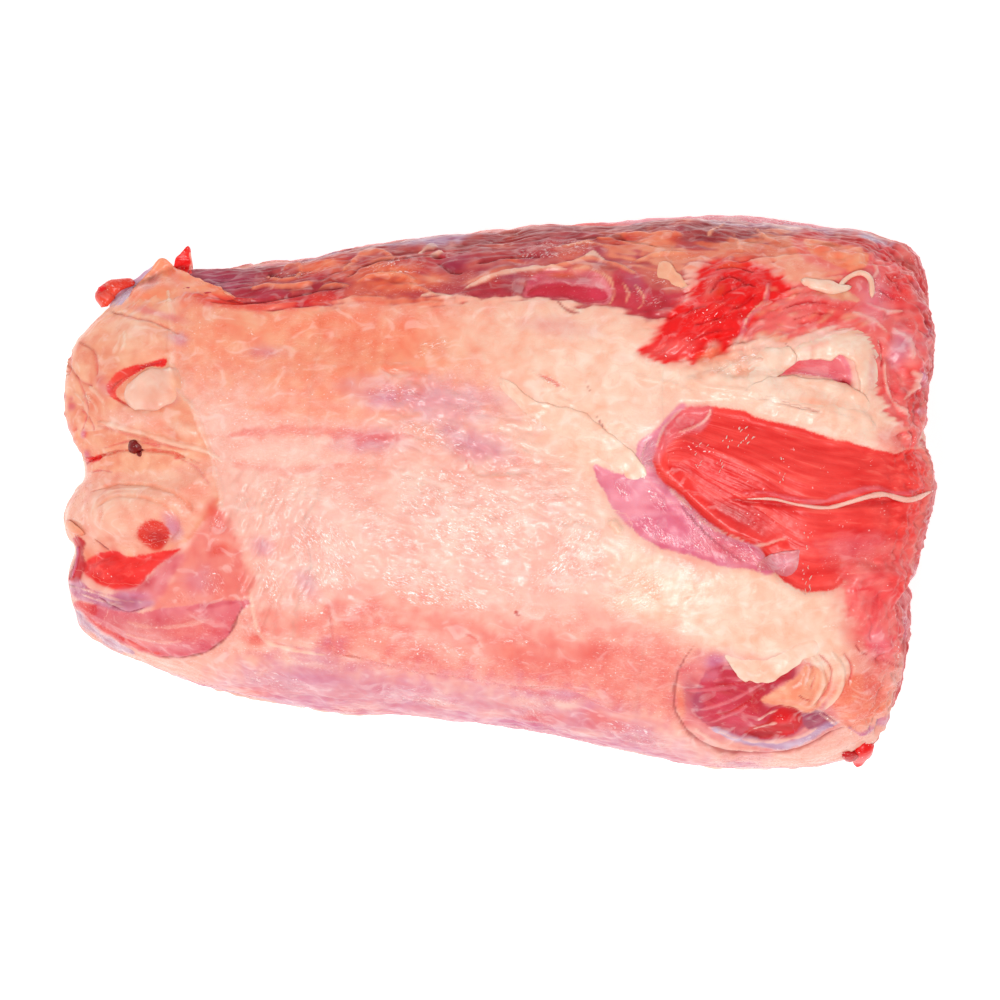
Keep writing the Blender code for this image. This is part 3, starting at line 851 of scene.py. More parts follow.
def knuckle_joint() -> list[Item]:
    """The end with the joint: its capsule, tendons, folds and trimmed muscle.

    Returns:
        The items, lowest first.
    """
    t = Tissue
    capsule = px(102, 316, 128, 305, 165, 268, 171, 300, 173, 350, 173.5, 374, 180, 396, 193, 410, 200, 429,
        215, 470, 222, 510, 205, 530, 188, 548, 149, 565, 85, 570, 60, 530, 60, 440, 66, 370, 85, 329)
    knob = px(77, 480, 113, 477, 149, 479, 200, 466, 223, 469, 224, 489, 218, 503, 200, 528, 188, 544,
        149, 563, 113, 560, 92, 559, 81, 540, 68, 532, 63, 524, 68, 509)
    dimple = px(142, 540, 147, 530, 158, 525, 168, 529, 172, 541, 166, 553, 156, 558, 147, 552)
    red_muscle = px(84, 570, 96, 562, 106, 559, 118, 558, 128, 563, 142, 562, 156, 560, 170, 557, 182, 556,
        172, 564, 160, 572, 152, 581, 140, 593, 126, 597, 108, 595, 94, 588, 84, 580)
    striped = px(80, 541, 88, 547, 86, 560, 84, 574, 80, 590, 64, 590, 56, 587, 64, 566, 74, 550)
    pink = px(217, 510, 228, 520, 236, 536, 243, 560, 252, 584, 254, 602, 236, 610, 200, 616, 158, 618,
        164, 600, 176, 575, 190, 555, 202, 532)
    veiled = px(118, 600, 140, 594, 152, 582, 164, 571, 180, 560, 186, 566, 174, 584, 164, 600, 150, 612,
        126, 607)
    sliver = px(58, 588, 84, 591, 100, 600, 128, 603, 152, 608, 146, 617, 128, 621, 108, 618, 96, 612,
        72, 604)
    lens = px(74, 611, 98, 613, 129, 621, 172, 616, 250, 607, 241, 622, 231, 643, 215, 657, 197, 664,
        172, 665, 148, 660, 116, 646, 88, 629)
    return [
        Patch(t.CAPSULE, capsule, 1.4, 0.5, swell=0.6, reach=5),
        Streak(t.FAT, px(165, 268, 172, 310, 174, 350, 174, 374, 181, 396, 194, 411, 202, 430, 216, 470,
            224, 508, 208, 545), 1.0, 0.4, 0.4, ragged=0.5, step=-1.0, fade=8),
        Patch(t.TORN, px(167, 362, 154, 366, 141, 370, 129, 375, 119, 383, 113, 393, 116, 402, 126, 409,
            138, 414, 130, 408, 122, 402, 122, 396, 131, 386, 139, 379, 151, 372, 166, 370), 0.6, 0.25,
            sunk=0.8),
        *lines(t.CRIMSON, 0.4, -0.3, [118, 400, 126, 408, 137, 413], [140, 373, 152, 369, 166, 364],
            [116, 396, 120, 390, 128, 384]),
        Wash(t.LILAC, spot(110, 392), (2.4, 4), 20, 0.4),
        *lines(t.SALMON, 0.5, -0.4, [76, 366, 86, 384, 90, 412, 84, 436], [90, 350, 104, 362, 106, 390],
            [84, 414, 92, 424, 96, 436], [84, 380, 90, 388, 100, 392], [92, 478, 104, 476, 116, 478],
            [106, 453, 122, 448, 140, 446, 164, 452], [180, 462, 200, 474, 214, 492]),
        *lines(t.FAT, 0.5, 0.35, [99, 522, 106, 508, 122, 499, 150, 498], [110, 532, 116, 520, 128, 512],
            [88, 400, 98, 408, 102, 420], [80, 396, 88, 410, 90, 424], [96, 392, 104, 400, 110, 410],
            [112, 316, 136, 324, 162, 331, 182, 340, 200, 350], [120, 330, 126, 344, 120, 362], [128, 334,
            131, 348, 126, 360]),
        *washes((t.CAPSULE, 108, 375, 10, 14, 20, 0.3, 2.0), (t.FAT, 140, 340, 12, 7, -20, 0.3, 1.0),
            (t.PEACH, 108, 335, 6, 5, 30, 0.4), (t.FAT, 186, 435, 5, 2.6, -20, 0.6, 1.0),
            (t.MEMBRANE, 140, 425, 13, 4, -5, 0.7, 0.8), (t.LILAC, 172, 402, 4, 3, 30, 0.35),
            (t.ROSE, 160, 318, 12, 1.6, -14, 0.6), (t.LILAC, 180, 342, 5, 2.4, -20, 0.5)),
        Streak(t.BLOOD, px(111, 315, 136, 323, 162, 329, 181, 338), 0.7, 0.5, -0.5, ragged=0.5),
        Streak(t.SALMON, px(78, 352, 83, 366, 80, 380, 71, 376, 73, 362), 0.6, 0.6, -0.5),
        Streak(t.FAT, px(93, 425, 121, 431, 149, 439, 172, 447, 196, 453, 211, 458, 224, 469), 0.9, 0.7,
            0.7),
        # Painted shade: a darker crease under the ridge.
        Streak(t.SALMON, px(96, 429, 121, 436, 149, 444, 172, 451, 196, 457), 0.6, 0.5, -0.4, ragged=0.2),
        Streak(t.BLOOD, px(79, 477, 85, 471, 92, 466, 106, 460, 130, 455, 172, 458, 205, 470), 0.6, 0.6,
            -1.2, ragged=0.4),
        Streak(t.TORN, px(82, 472, 90, 466, 98, 464, 106, 460), 0.9, 1.0, -0.5, soft=0.4),
        *washes((t.BLOOD, 180, 463, 1.0, 0.7, 0, 0.9), (t.BLOOD, 66, 404, 8, 2.4, 84, 0.65),
            (t.ROSE, 68, 436, 8, 3.0, -70, 0.7), (t.BLOOD, 86, 462, 5, 3.0, 30, 0.5)),
        Streak(t.MAGENTA, px(63, 440, 70, 452, 80, 462, 84, 476), 0.9, 0.7, ragged=0.4),
        Patch(t.MEMBRANE, knob, 2.2, 0.8, 0.4, swell=1.6, reach=9),
        Wash(t.FAT, spot(128, 520), (16, 8), 10, 0.3, 2.2),
        Streak(t.PEACH, px(95, 500, 120, 492, 160, 494, 190, 508, 196, 524), 0.8, 0.5, -0.6),
        Streak(t.PEACH, px(104, 516, 124, 507, 152, 507, 176, 516, 182, 532, 172, 548), 0.8, 0.5, -0.5),
        Wash(t.LILAC, spot(176, 534), (3.4, 4.6), 20, 0.7, -0.5),
        Patch(t.BLOOD, dimple, 1.3, 0.3, sunk=1.0),
        Wash(t.CRIMSON, spot(158, 543), (4.6, 4.0), 0, 0.65, -0.4),
        Patch(t.SALMON, pink, 3.2, 1.4, 0.75, turn=-66),
        *washes((t.BLOOD, 222, 556, 4, 2.4, 20, 0.7), (t.BLOOD, 214, 518, 2.4, 3.6, 10, 0.5),
            (t.LILAC, 200, 590, 6, 6, 20, 0.35)),
        Patch(t.MUSCLE, red_muscle, 0.8, 0.4, sunk=1.0, swell=0.9, reach=4, turn=8),
        Patch(t.TORN, red_muscle, 4.0, 0.8, 0.5),
        Patch(t.ROSE, veiled, 2.4, 0.8, 0.85, turn=36),
        *washes((t.LILAC, 136, 604, 6, 2, 4, 0.6), (t.MAGENTA, 150, 590, 4.5, 1.8, 40, 0.6)),
        Patch(t.CRIMSON, striped, 0.9, 0.4, turn=-70),
        Streak(t.LILAC, px(79, 548, 72, 566, 64, 584), 0.35, 0.9, 0.5, ragged=0.2),
        Streak(t.LILAC, px(84, 552, 79, 568, 74, 586), 0.35, 0.8, 0.5, ragged=0.2),
        Streak(t.MAROON, px(76, 552, 68, 568, 62, 584), 0.5, 0.9, -0.4, ragged=0.2),
        Streak(t.MAROON, px(82, 556, 76, 572, 70, 588), 0.5, 0.8, -0.4, ragged=0.2),
        Patch(t.ROSE, sliver, 1.0, 0.5, lip=0.3),
        Patch(t.PEARL, sliver, 2.4, 1.2, 0.5),
        # A pale pearly band along the lower rim: the silverskin, with painted sheen where the rim turns away.
        Streak(t.PEARL, px(60, 604, 80, 628, 108, 648, 140, 662), 2.0, 0.7, ragged=0.8),
        # Painted glints: fine pale lines on the sliver.
        *lines(t.WRINKLED, 0.4, 0.3, [64, 592, 90, 598, 118, 607, 144, 611], [80, 601, 104, 609, 132, 617]),
        Wash(t.MAUVE, spot(126, 611), (6, 2.2), 4, 0.6),
        Streak(t.MAUVE, px(98, 603, 112, 613, 128, 620, 146, 616), 0.4, 0.9, -0.4, ragged=0.15),
        Patch(t.ROSE, lens, 0.9, 0.3, 0.95, swell=1.4, reach=6),
        *washes((t.SALMON, 195, 636, 13, 5, 0, 0.6), (t.MEMBRANE, 146, 640, 13, 4, -14, 0.35)),
        # Painted shade: dark lines along the lens's edge and along a crack.
        *lines(t.SEAM, 0.45, -0.5, [250, 607, 241, 622, 231, 643, 215, 657, 197, 664, 172, 665, 148, 660],
            [113, 558, 106, 552, 99, 543]),
        Streak(t.MAGENTA, px(186, 619, 212, 613, 240, 610), 1.4, 0.4, ragged=0.5),
        Streak(t.MEMBRANE, px(120, 626, 150, 634, 190, 632, 214, 626), 0.5, 0.4, 0.2, ragged=0.5),
        Streak(t.MEMBRANE, px(126, 640, 160, 648, 196, 646), 0.5, 0.4, 0.2, ragged=0.5),
        Patch(t.BLOOD, px(76, 609, 96, 613, 97, 622, 86, 624), 1.0, 0.3, 0.6),
        Streak(t.BLOOD, px(86, 624, 104, 636, 126, 647, 148, 657, 166, 662), 0.8, 0.6, ragged=0.3),
        Wash(t.BLOOD, spot(258, 648), (4, 2.4), 0, 0.6),
        *glistens((220, 532, 4.5, 4.5, 50), (172, 582, 6, 3.2, 58), (246, 588, 7, 3.0, -58),
            (196, 572, 4, 1.6, 62, 0.6), (215, 590, 6, 5, -70, 0.55), (170, 302, 4.5, 3, 24, 0.7),
            (125, 336, 3.6, 1.4, 50, 0.7), (122, 372, 3.6, 1.6, 40, 0.7), (92, 404, 4, 3, 10, 0.7),
            (252, 334, 4.5, 2.6, -40, 0.7), (112, 518, 2.6, 6, 0, 0.5)),
        *blotches([t.BLOOD, t.LILAC, t.ROSE, t.PEACH], px(58, 390, 68, 380, 76, 400, 84, 420, 90, 460,
            78, 476, 60, 440), 30, (1.3, 0.8), 80, 0.55, 0.6),
        *blotches([t.CAPSULE, t.FAT, t.PEACH], px(80, 340, 160, 320, 190, 400, 210, 460, 100, 450), 26,
            (3.0, 1.6), 10, 0.3, 0.4),
    ]


def back_band() -> list[Item]:
    """The strip along the back: darker muscles under thin membranes, and blood along the edge of the fat.

    Returns:
        The items, lowest first.
    """
    t = Tissue
    band = px(150, 262, 250, 245, 400, 225, 560, 205, 720, 195, 900, 225, 925, 262, 880, 262, 826, 252,
        760, 262, 700, 262, 690, 300, 660, 322, 622, 310, 596, 306, 540, 300, 500, 298, 464, 299, 420, 303,
        360, 300, 329, 306, 280, 306, 232, 301, 196, 293, 176, 276)
    wedge = px(176, 280, 198, 267, 235, 259, 262, 258, 240, 266, 222, 270, 205, 276, 188, 284)
    left_lens = px(182, 283, 205, 274, 238, 262, 262, 266, 250, 280, 270, 286, 300, 288, 322, 284, 340, 283,
        320, 290, 296, 295, 246, 300, 208, 297)
    window = px(528, 296, 532, 280, 547, 270, 576, 267, 600, 272, 612, 281, 617, 293, 612, 305, 590, 303,
        565, 299, 540, 299)
    deep = px(532, 296, 537, 285, 556, 282, 585, 285, 610, 290, 612, 303, 590, 302, 565, 298)
    mottled = px(618, 276, 640, 272, 658, 290, 690, 294, 686, 308, 660, 322, 632, 314, 616, 306)
    top_red = px(680, 236, 700, 226, 740, 224, 790, 230, 812, 238, 790, 244, 750, 246, 710, 244)
    return [
        Patch(t.RUSSET, band, 1.6, 1.6, sunk=1.0, turn=4, feather=2.5),
        *washes((t.ORANGE, 400, 278, 17, 6, 4, 0.85, 0.8), (t.ORANGE, 325, 268, 9, 3, 8, 0.8, 0.6),
            (t.ORANGE, 640, 242, 18, 3, 2, 0.5), (t.MAROON, 640, 228, 16, 1.6, 0, 0.8),
            (t.BLOOD, 450, 256, 7, 3, 0, 0.4), (t.PURPLE, 457, 265, 5, 1.8, -10, 0.8),
            (t.MAROON, 520, 238, 13, 2.8, 3, 0.85), (t.PURPLE, 520, 252, 14, 3.4, 3, 0.6),
            (t.PURPLE, 572, 240, 8, 2.2, 2, 0.7), (t.PURPLE, 632, 253, 8, 2.6, 0, 0.7)),
        Patch(t.PURPLE, px(466, 292, 488, 281, 508, 280, 530, 284, 530, 297, 500, 297, 474, 298), 1.2, 0.8,
            0.9),
        Wash(t.CRIMSON, spot(499, 286), (2.6, 2.2), 0, 0.6),
        Patch(t.MAROON, wedge, 1.4, 0.5),
        Patch(t.PURPLE, left_lens, 1.4, 0.6, turn=8, feather=1.0),
        *washes((t.MAUVE, 212, 282, 12, 5, 8, 1.0), (t.MAUVE, 250, 272, 9, 3, 14, 0.6)),
        Patch(t.MAGENTA, mottled, 2.6, 1.4, 0.85, turn=-50),
        Wash(t.MAUVE, spot(640, 284), (5, 3), -30, 0.6),
        Rumple(mottled, (3.4, 2.6), 0.8, -50),
        Patch(t.ROSE, window, 0.8, 0.3, sunk=1.2, swell=0.8, reach=5),
        Wash(t.PURPLE, spot(572, 275), (10, 2.4), -4, 0.5),
        Patch(t.MAGENTA, deep, 1.2, 0.4),
        Patch(t.MAROON, top_red, 2.4, 1.2, 0.75, feather=1.5),
        Patch(t.CRIMSON, px(812, 232, 850, 234, 905, 248, 896, 258, 860, 252, 830, 244), 2.0, 0.8, 0.85),
        Wash(t.ORANGE, spot(690, 221), (6, 1.8), 4, 0.8, 0.8),
        Streak(t.TORN, px(168, 278, 185, 290, 210, 300, 246, 306, 280, 305, 329, 300, 350, 298), 3.0, 0.6,
            soft=1.0, ragged=1.4),
        *washes((t.BLOOD, 225, 303, 15, 3, -4, 0.6), (t.BLOOD, 320, 300, 12, 2.6, 8, 0.6)),
        Streak(t.ORANGE, px(350, 298, 420, 304, 450, 303), 2.2, 0.6, ragged=1.2),
        *blotches([t.PURPLE, t.MAUVE, t.MAROON, t.ORANGE, t.PEACH], px(262, 262, 420, 242, 600, 232,
            690, 240, 640, 266, 480, 280, 300, 292), 60, (5.0, 1.2), 5, 0.55, 0.4),
        *lines(t.PEACH, 0.7, 0.6, [252, 288, 267, 284, 282, 286, 299, 286, 316, 284], [267, 272, 279, 278,
            293, 278, 303, 270, 299, 265, 290, 267, 281, 273], [346, 273, 354, 265, 365, 258, 382, 254,
            396, 255], [320, 290, 338, 286, 352, 288], [412, 286, 428, 291, 440, 297], [360, 284, 380, 276,
            404, 276, 420, 282], [540, 270, 571, 264, 592, 259, 606, 261, 627, 268, 642, 276], [640, 262,
            664, 254, 700, 252], [600, 244, 640, 236, 690, 236]),
        *lines(t.FAT, 0.6, 0.5, [420, 252, 429, 247, 440, 245], [429, 258, 438, 254, 446, 250], [466, 289,
            490, 279, 507, 273, 535, 269, 554, 267, 577, 269], [424, 297, 440, 295, 460, 299], [590, 258,
            600, 256, 610, 261]),
        *lines(t.CAPSULE, 0.5, 0.4, [577, 268, 593, 268, 610, 276, 618, 286, 619, 298, 614, 307], [628, 284,
            634, 296, 630, 308], [640, 286, 650, 300, 644, 312], [735, 222, 722, 230, 714, 238], [738, 230,
            744, 242, 750, 252], [760, 226, 772, 238, 786, 244], [560, 250, 590, 246, 620, 252]),
        *lines(t.MAROON, 0.7, -0.6, [180, 286, 206, 297, 244, 301, 290, 297, 322, 290, 352, 288], [440, 262,
            454, 269, 466, 271], [270, 270, 286, 276, 300, 274], [350, 280, 366, 268, 384, 262, 404, 262],
            [404, 262, 424, 256, 446, 256], [480, 262, 510, 256, 548, 256], [580, 240, 620, 240, 664, 246]),
        Streak(t.MAROON, px(200, 268, 262, 266, 340, 254, 420, 243, 500, 234, 600, 226, 700, 224), 2.2, 0.6,
            ragged=0.6),
        # Painted sheen: pale pearly streaks along the rim, where the wet membrane turns away.
        Streak(t.PEARL, px(258, 263, 300, 258, 345, 250, 400, 243, 440, 239, 490, 233), 1.9, 0.95,
            ragged=0.4),
        Streak(t.PEARL, px(480, 232, 550, 227, 600, 224, 650, 223), 1.0, 0.9, ragged=0.4),
        Streak(t.PEARL, px(690, 221, 740, 222, 800, 227, 850, 234, 905, 248), 1.4, 0.95, ragged=0.4),
        # Painted glints: fine pale lines along the rim.
        *lines(t.WRINKLED, 0.45, 0.3, [300, 257, 330, 251, 360, 247], [350, 252, 384, 246, 410, 241],
            [400, 246, 430, 240, 470, 236], [700, 222, 730, 222, 760, 225], [760, 224, 790, 228, 830, 233],
            [840, 234, 864, 240, 890, 247], [206, 266, 224, 264, 240, 263], [500, 232, 530, 230, 560, 227]),
        *glistens((290, 272, 12, 4, 8, 0.8), (400, 268, 14, 4, 4, 0.8), (560, 250, 20, 4, 4, 0.7)),
    ]


def bare_muscles() -> list[Item]:
    """The muscles laid bare near the cut end, and the fat and sheaths round them.

    Returns:
        The items, lowest first.
    """
    t = Tissue
    sheath = px(600, 471, 628, 480, 640, 468, 644, 448, 664, 432, 686, 408, 692, 414, 668, 440, 670, 466,
        686, 484, 708, 506, 732, 526, 756, 540, 772, 550, 787, 547, 792, 569, 778, 582, 756, 576, 730, 574,
        693, 561, 661, 552, 632, 530, 611, 501)
    window_upper = px(659, 467, 663, 449, 674, 431, 690, 413, 717, 411, 747, 415, 769, 423, 808, 432,
        839, 443, 860, 447, 904, 458, 932, 462)
    window_lower = px(912, 570, 867, 573, 849, 594, 830, 600, 808, 598, 790, 588, 778, 574, 763, 553,
        739, 545, 717, 530, 702, 516, 682, 498, 666, 484)
    torn = px(706, 272, 712, 264, 722, 259, 736, 258, 752, 262, 772, 267, 784, 276, 800, 290, 786, 300,
        774, 312, 758, 326, 750, 342, 738, 352, 720, 362, 690, 366, 646, 359, 658, 344, 668, 326, 680, 308,
        694, 297)
    lobe = px(812, 240, 830, 241, 852, 247, 872, 251, 877, 262, 868, 272, 850, 270, 832, 262, 818, 254)
    pale_lobe = px(834, 292, 846, 288, 858, 293, 868, 302, 852, 302, 838, 299)
    upper_right = px(700, 352, 760, 322, 790, 292, 830, 284, 872, 262, 890, 248, 925, 262, 940, 320,
        938, 450, 912, 440, 892, 408, 880, 380, 876, 345, 840, 333, 800, 342, 760, 345)
    orange = px(620, 250, 660, 240, 720, 244, 770, 236, 800, 232, 850, 240, 880, 252, 862, 276, 846, 292,
        800, 288, 776, 268, 720, 256, 690, 268, 650, 262)
    hollow = px(783, 378, 790, 370, 804, 361, 820, 356, 844, 355, 857, 367, 860, 386, 854, 391, 836, 382,
        812, 378)
    opening = px(883, 357, 898, 368, 896, 396, 908, 412, 917, 390, 914, 372, 900, 356)
    lower_lumps = px(860, 573, 912, 565, 916, 598, 910, 640, 896, 665, 880, 655, 869, 636, 852, 613)
    crimson_edge = px(926, 262, 945, 300, 945, 425, 922, 425, 914, 390, 926, 350, 918, 300)
    edge_line = px(932, 300, 934, 370, 926, 420)
    return [
        Streak(t.FAT, px(690, 385, 760, 396, 840, 418, 884, 432), 5.0, 0.8, 1.4, ragged=1.0),
        Wash(t.PINK_MUSCLE, spot(908, 446), (9, 5), -20, 0.75),
        Patch(t.SHEATH, sheath, 0.9, 0.4, sunk=0.9, turn=-58),
        Wash(t.ROSE, spot(735, 558), (12, 4), -22, 0.8),
        *glistens((628, 492, 7, 3.6, -62, 0.8), (662, 505, 9, 3, -50, 0.6)),
        Patch(t.PEACH, orange, 2.2, 1.6, 0.65, turn=-4, feather=4.0),
        Patch(t.PINK_MUSCLE, upper_right, 2.4, 1.4, 0.9, sunk=1.0, turn=14, feather=3.0),
        *washes((t.TORN, 905, 285, 7, 9, 0, 0.6), (t.TORN, 838, 316, 10, 3, 14, 0.6),
            (t.MEMBRANE, 846, 296, 5, 2.4, 0, 0.6)),
        Patch(t.MUSCLE, np.vstack([window_upper, window_lower]), 0.8, 0.4, sunk=2.0, swell=2.2, reach=14,
            lip=0.3),
        FibreFan(px(640, 470, 662, 438, 687, 408, 717, 408, 769, 418, 839, 438, 932, 455), px(640, 474,
            682, 499, 717, 532, 763, 565, 808, 602, 849, 602, 932, 590), 46),
        Patch(t.ROSE, px(688, 412, 718, 411, 712, 432, 690, 440, 674, 452, 664, 468, 660, 460, 668, 440),
            1.6, 0.6, 0.6),
        Wash(t.SHEATH, spot(656, 460), (1.8, 5), -24, 0.8),
        *lines(t.MEMBRANE, 0.5, 0.4, [666, 486, 688, 506, 712, 530, 736, 542, 762, 553], [718, 412, 713, 424,
            700, 432, 684, 438], [688, 412, 670, 432, 662, 452], [762, 553, 776, 551, 790, 546, 803, 546]),
        *washes((t.CRIMSON, 700, 448, 7, 4, -40, 0.6), (t.CRIMSON, 862, 590, 4, 3, 0, 0.5),
            (t.PINK_MUSCLE, 870, 560, 14, 7, 0, 0.8), (t.ROSE, 866, 556, 14, 6, 0, 0.5),
            (t.CRIMSON, 752, 526, 13, 5, -24, 0.8), (t.TORN, 720, 476, 12, 7, -40, 0.8)),
        Streak(t.ROSE, px(747, 499, 773, 499, 800, 505, 828, 508, 849, 502, 882, 494, 908, 500, 932, 490),
            0.9, 0.6, 0.5),
        Streak(t.CRIMSON, px(736, 505, 790, 511, 850, 512, 920, 506), 1.2, 0.5, -0.7),
        Patch(t.PINK_MUSCLE, torn, 5.0, 1.6, 0.7, feather=1.0),
        Patch(t.TORN, torn, 1.8, 1.0, sunk=1.0, swell=1.6, reach=7, turn=20, feather=1.6),
        *washes((t.PINK_MUSCLE, 676, 352, 9, 3.4, 14, 0.6), (t.SALMON, 718, 292, 5, 2.2, 70, 0.85, 0.4),
            (t.ORANGE, 727, 294, 2.6, 1.4, 60, 0.6, 0.3), (t.ORANGE, 736, 266, 6, 1.4, 4, 0.5, 0.3)),
        Streak(t.CRIMSON, px(716, 300, 724, 286, 740, 278, 760, 290), 0.7, 0.6, -0.8, ragged=0.5),
        Streak(t.CRIMSON, px(728, 300, 740, 292, 756, 288, 768, 296), 0.5, 0.6, -0.6, ragged=0.4),
        Streak(t.CRIMSON, px(716, 278, 730, 268, 750, 270, 766, 276), 0.6, 0.6, -0.7, ragged=0.4),
        Streak(t.CRIMSON, px(700, 330, 722, 322, 744, 310, 764, 296), 0.7, 0.5, -0.8, ragged=0.6),
        Streak(t.CRIMSON, px(688, 322, 700, 312, 716, 310), 0.6, 0.5, -0.6, ragged=0.4),
        Streak(t.CRIMSON, px(690, 346, 712, 338, 736, 330), 0.6, 0.4, -0.6, ragged=0.5),
        Streak(t.ROSE, px(775, 284, 772, 304, 756, 320, 748, 338, 738, 352), 1.1, 0.8, 1.0, ragged=0.4),
        Streak(t.CAPSULE, px(773, 286, 771, 302, 757, 316, 750, 332), 0.35, 0.8, 0.3, ragged=0.3),
        Patch(t.PINK_MUSCLE, px(800, 236, 830, 236, 880, 246, 884, 270, 866, 278, 830, 270, 806, 258), 2.0,
            0.8, 0.6, turn=-10),
        Patch(t.PEACH, lobe, 1.0, 0.4, swell=1.6, reach=4),
        Wash(t.ROSE, spot(842, 252), (7, 2), -14, 0.3),
        Patch(t.CAPSULE, pale_lobe, 0.9, 0.2, swell=0.8, reach=3),
        *glistens((800, 306, 9, 6, 30, 0.7), (818, 330, 9, 3, 10, 0.7)),
        Rumple(px(640, 370, 700, 290, 716, 255, 790, 275, 870, 300, 860, 325, 790, 345, 720, 365), (9, 3.2),
            1.1, 38),
        Rumple(px(700, 350, 760, 338, 820, 330, 860, 330, 840, 350, 800, 368, 770, 392, 710, 384), (6, 4),
            1.3, 30),
        Rumple(px(560, 225, 720, 212, 880, 236, 900, 262, 780, 262, 640, 262, 560, 256), (16, 3.6), 1.0, 2),
        Patch(t.SHEATH, hollow, 0.8, 0.3, sunk=1.8),
        Patch(t.PINK_MUSCLE, hollow, 4.0, share=0.6),
        *washes((t.TORN, 800, 371, 5, 2.4, 20, 0.5), (t.CRIMSON, 855, 386, 2.4, 1.6, -30, 0.8, -1.2)),
        Patch(t.PINK_MUSCLE, opening, 0.8, 0.3, sunk=1.6),
        Patch(t.CRIMSON, crimson_edge, 2.4, 1.6, 0.8, turn=80),
        Patch(t.CRIMSON, px(806, 231, 850, 235, 903, 249, 892, 259, 864, 250, 832, 242), 1.6, 0.8, 0.85),
        *blotches([t.CRIMSON, t.ROSE, t.TORN, t.LILAC, t.MAGENTA], px(914, 250, 934, 262, 942, 330, 938, 430,
            926, 440, 918, 380, 922, 330), 80, (1.2, 0.8), 80, 0.85, 0.9),
        *blotches([t.TORN, t.PINK_MUSCLE, t.CRIMSON, t.ROSE], px(880, 262, 915, 256, 922, 330, 915, 400,
            896, 420, 886, 350), 44, (2.2, 1.3), 60, 0.5, 0.5),
        *blotches([t.PINK_MUSCLE, t.CAPSULE, t.TORN, t.PEACH], px(780, 290, 860, 300, 880, 330, 840, 333,
            790, 346, 760, 340), 50, (2.2, 0.8), 14, 0.5, 0.5),
        *blotches([t.FAT, t.CAPSULE, t.FAT, t.PEACH], px(700, 352, 760, 340, 800, 338, 800, 352, 780, 376,
            730, 386, 690, 378), 36, (2.4, 1.6), 20, 0.5, 0.7),
        *blotches([t.TORN, t.PINK_MUSCLE, t.CRIMSON, t.SALMON], px(858, 580, 912, 570, 914, 600, 906, 680,
            884, 690, 866, 640), 46, (2.0, 1.3), 50, 0.6, 0.7),
        Rumple(px(900, 235, 960, 250, 965, 460, 960, 660, 890, 770, 868, 745, 892, 660, 896, 600, 905, 440,
            912, 330), (4.5, 3.4), 1.0, 70, 2.0),
        Streak(t.SHEATH, edge_line, 1.8, 0.8, ragged=1.8),
        *washes((t.PINK_MUSCLE, 898, 300, 7, 12, 80, 0.5), (t.TORN, 904, 296, 4, 4, 0, 0.6)),
        *glistens((900, 290, 6, 9, 80, 0.8), (868, 350, 6, 12, 80, 0.6), (830, 316, 12, 6, 10, 0.8),
            (720, 330, 12, 9, 30, 0.6), (745, 366, 12, 5, 20, 0.8), (660, 290, 8, 7, 20, 0.7),
            (880, 620, 6, 10, 80, 0.7)),
        *lines(t.MEMBRANE, 0.6, 0.4, [880, 262, 886, 272, 878, 286, 884, 298], [870, 302, 890, 312,
            912, 316], [893, 366, 895, 388, 905, 408, 920, 426], [916, 374, 919, 390, 911, 406], [860, 314,
            880, 322, 900, 340], [900, 330, 912, 346, 914, 366]),
        *lines(t.CRIMSON, 0.5, -0.5, [790, 310, 812, 304, 836, 306], [800, 322, 824, 316, 850, 318],
            [888, 290, 896, 296, 904, 302], [894, 274, 904, 284, 908, 296], [886, 342, 892, 356, 890, 372],
            [880, 600, 892, 612, 896, 630], [872, 616, 880, 632, 878, 650]),
        # Painted shade: dark lines under the edges of the fat lobe and the fat roll.
        *lines(t.SEAM, 0.5, -0.4, [792, 346, 797, 354, 790, 364, 782, 372, 774, 381], [752, 396, 776, 404,
            804, 412, 836, 419]),
        Patch(t.SALMON, px(846, 580, 870, 566, 915, 560, 918, 640, 900, 690, 868, 680, 850, 640), 9, 2.0,
            0.6),
        Patch(t.PINK_MUSCLE, lower_lumps, 3.4, 1.6, swell=1.2, reach=4, feather=2.0),
        Streak(t.FAT, px(617, 527, 622, 533, 628, 541), 1.3, 0.9, 0.8, soft=0.4),
    ]


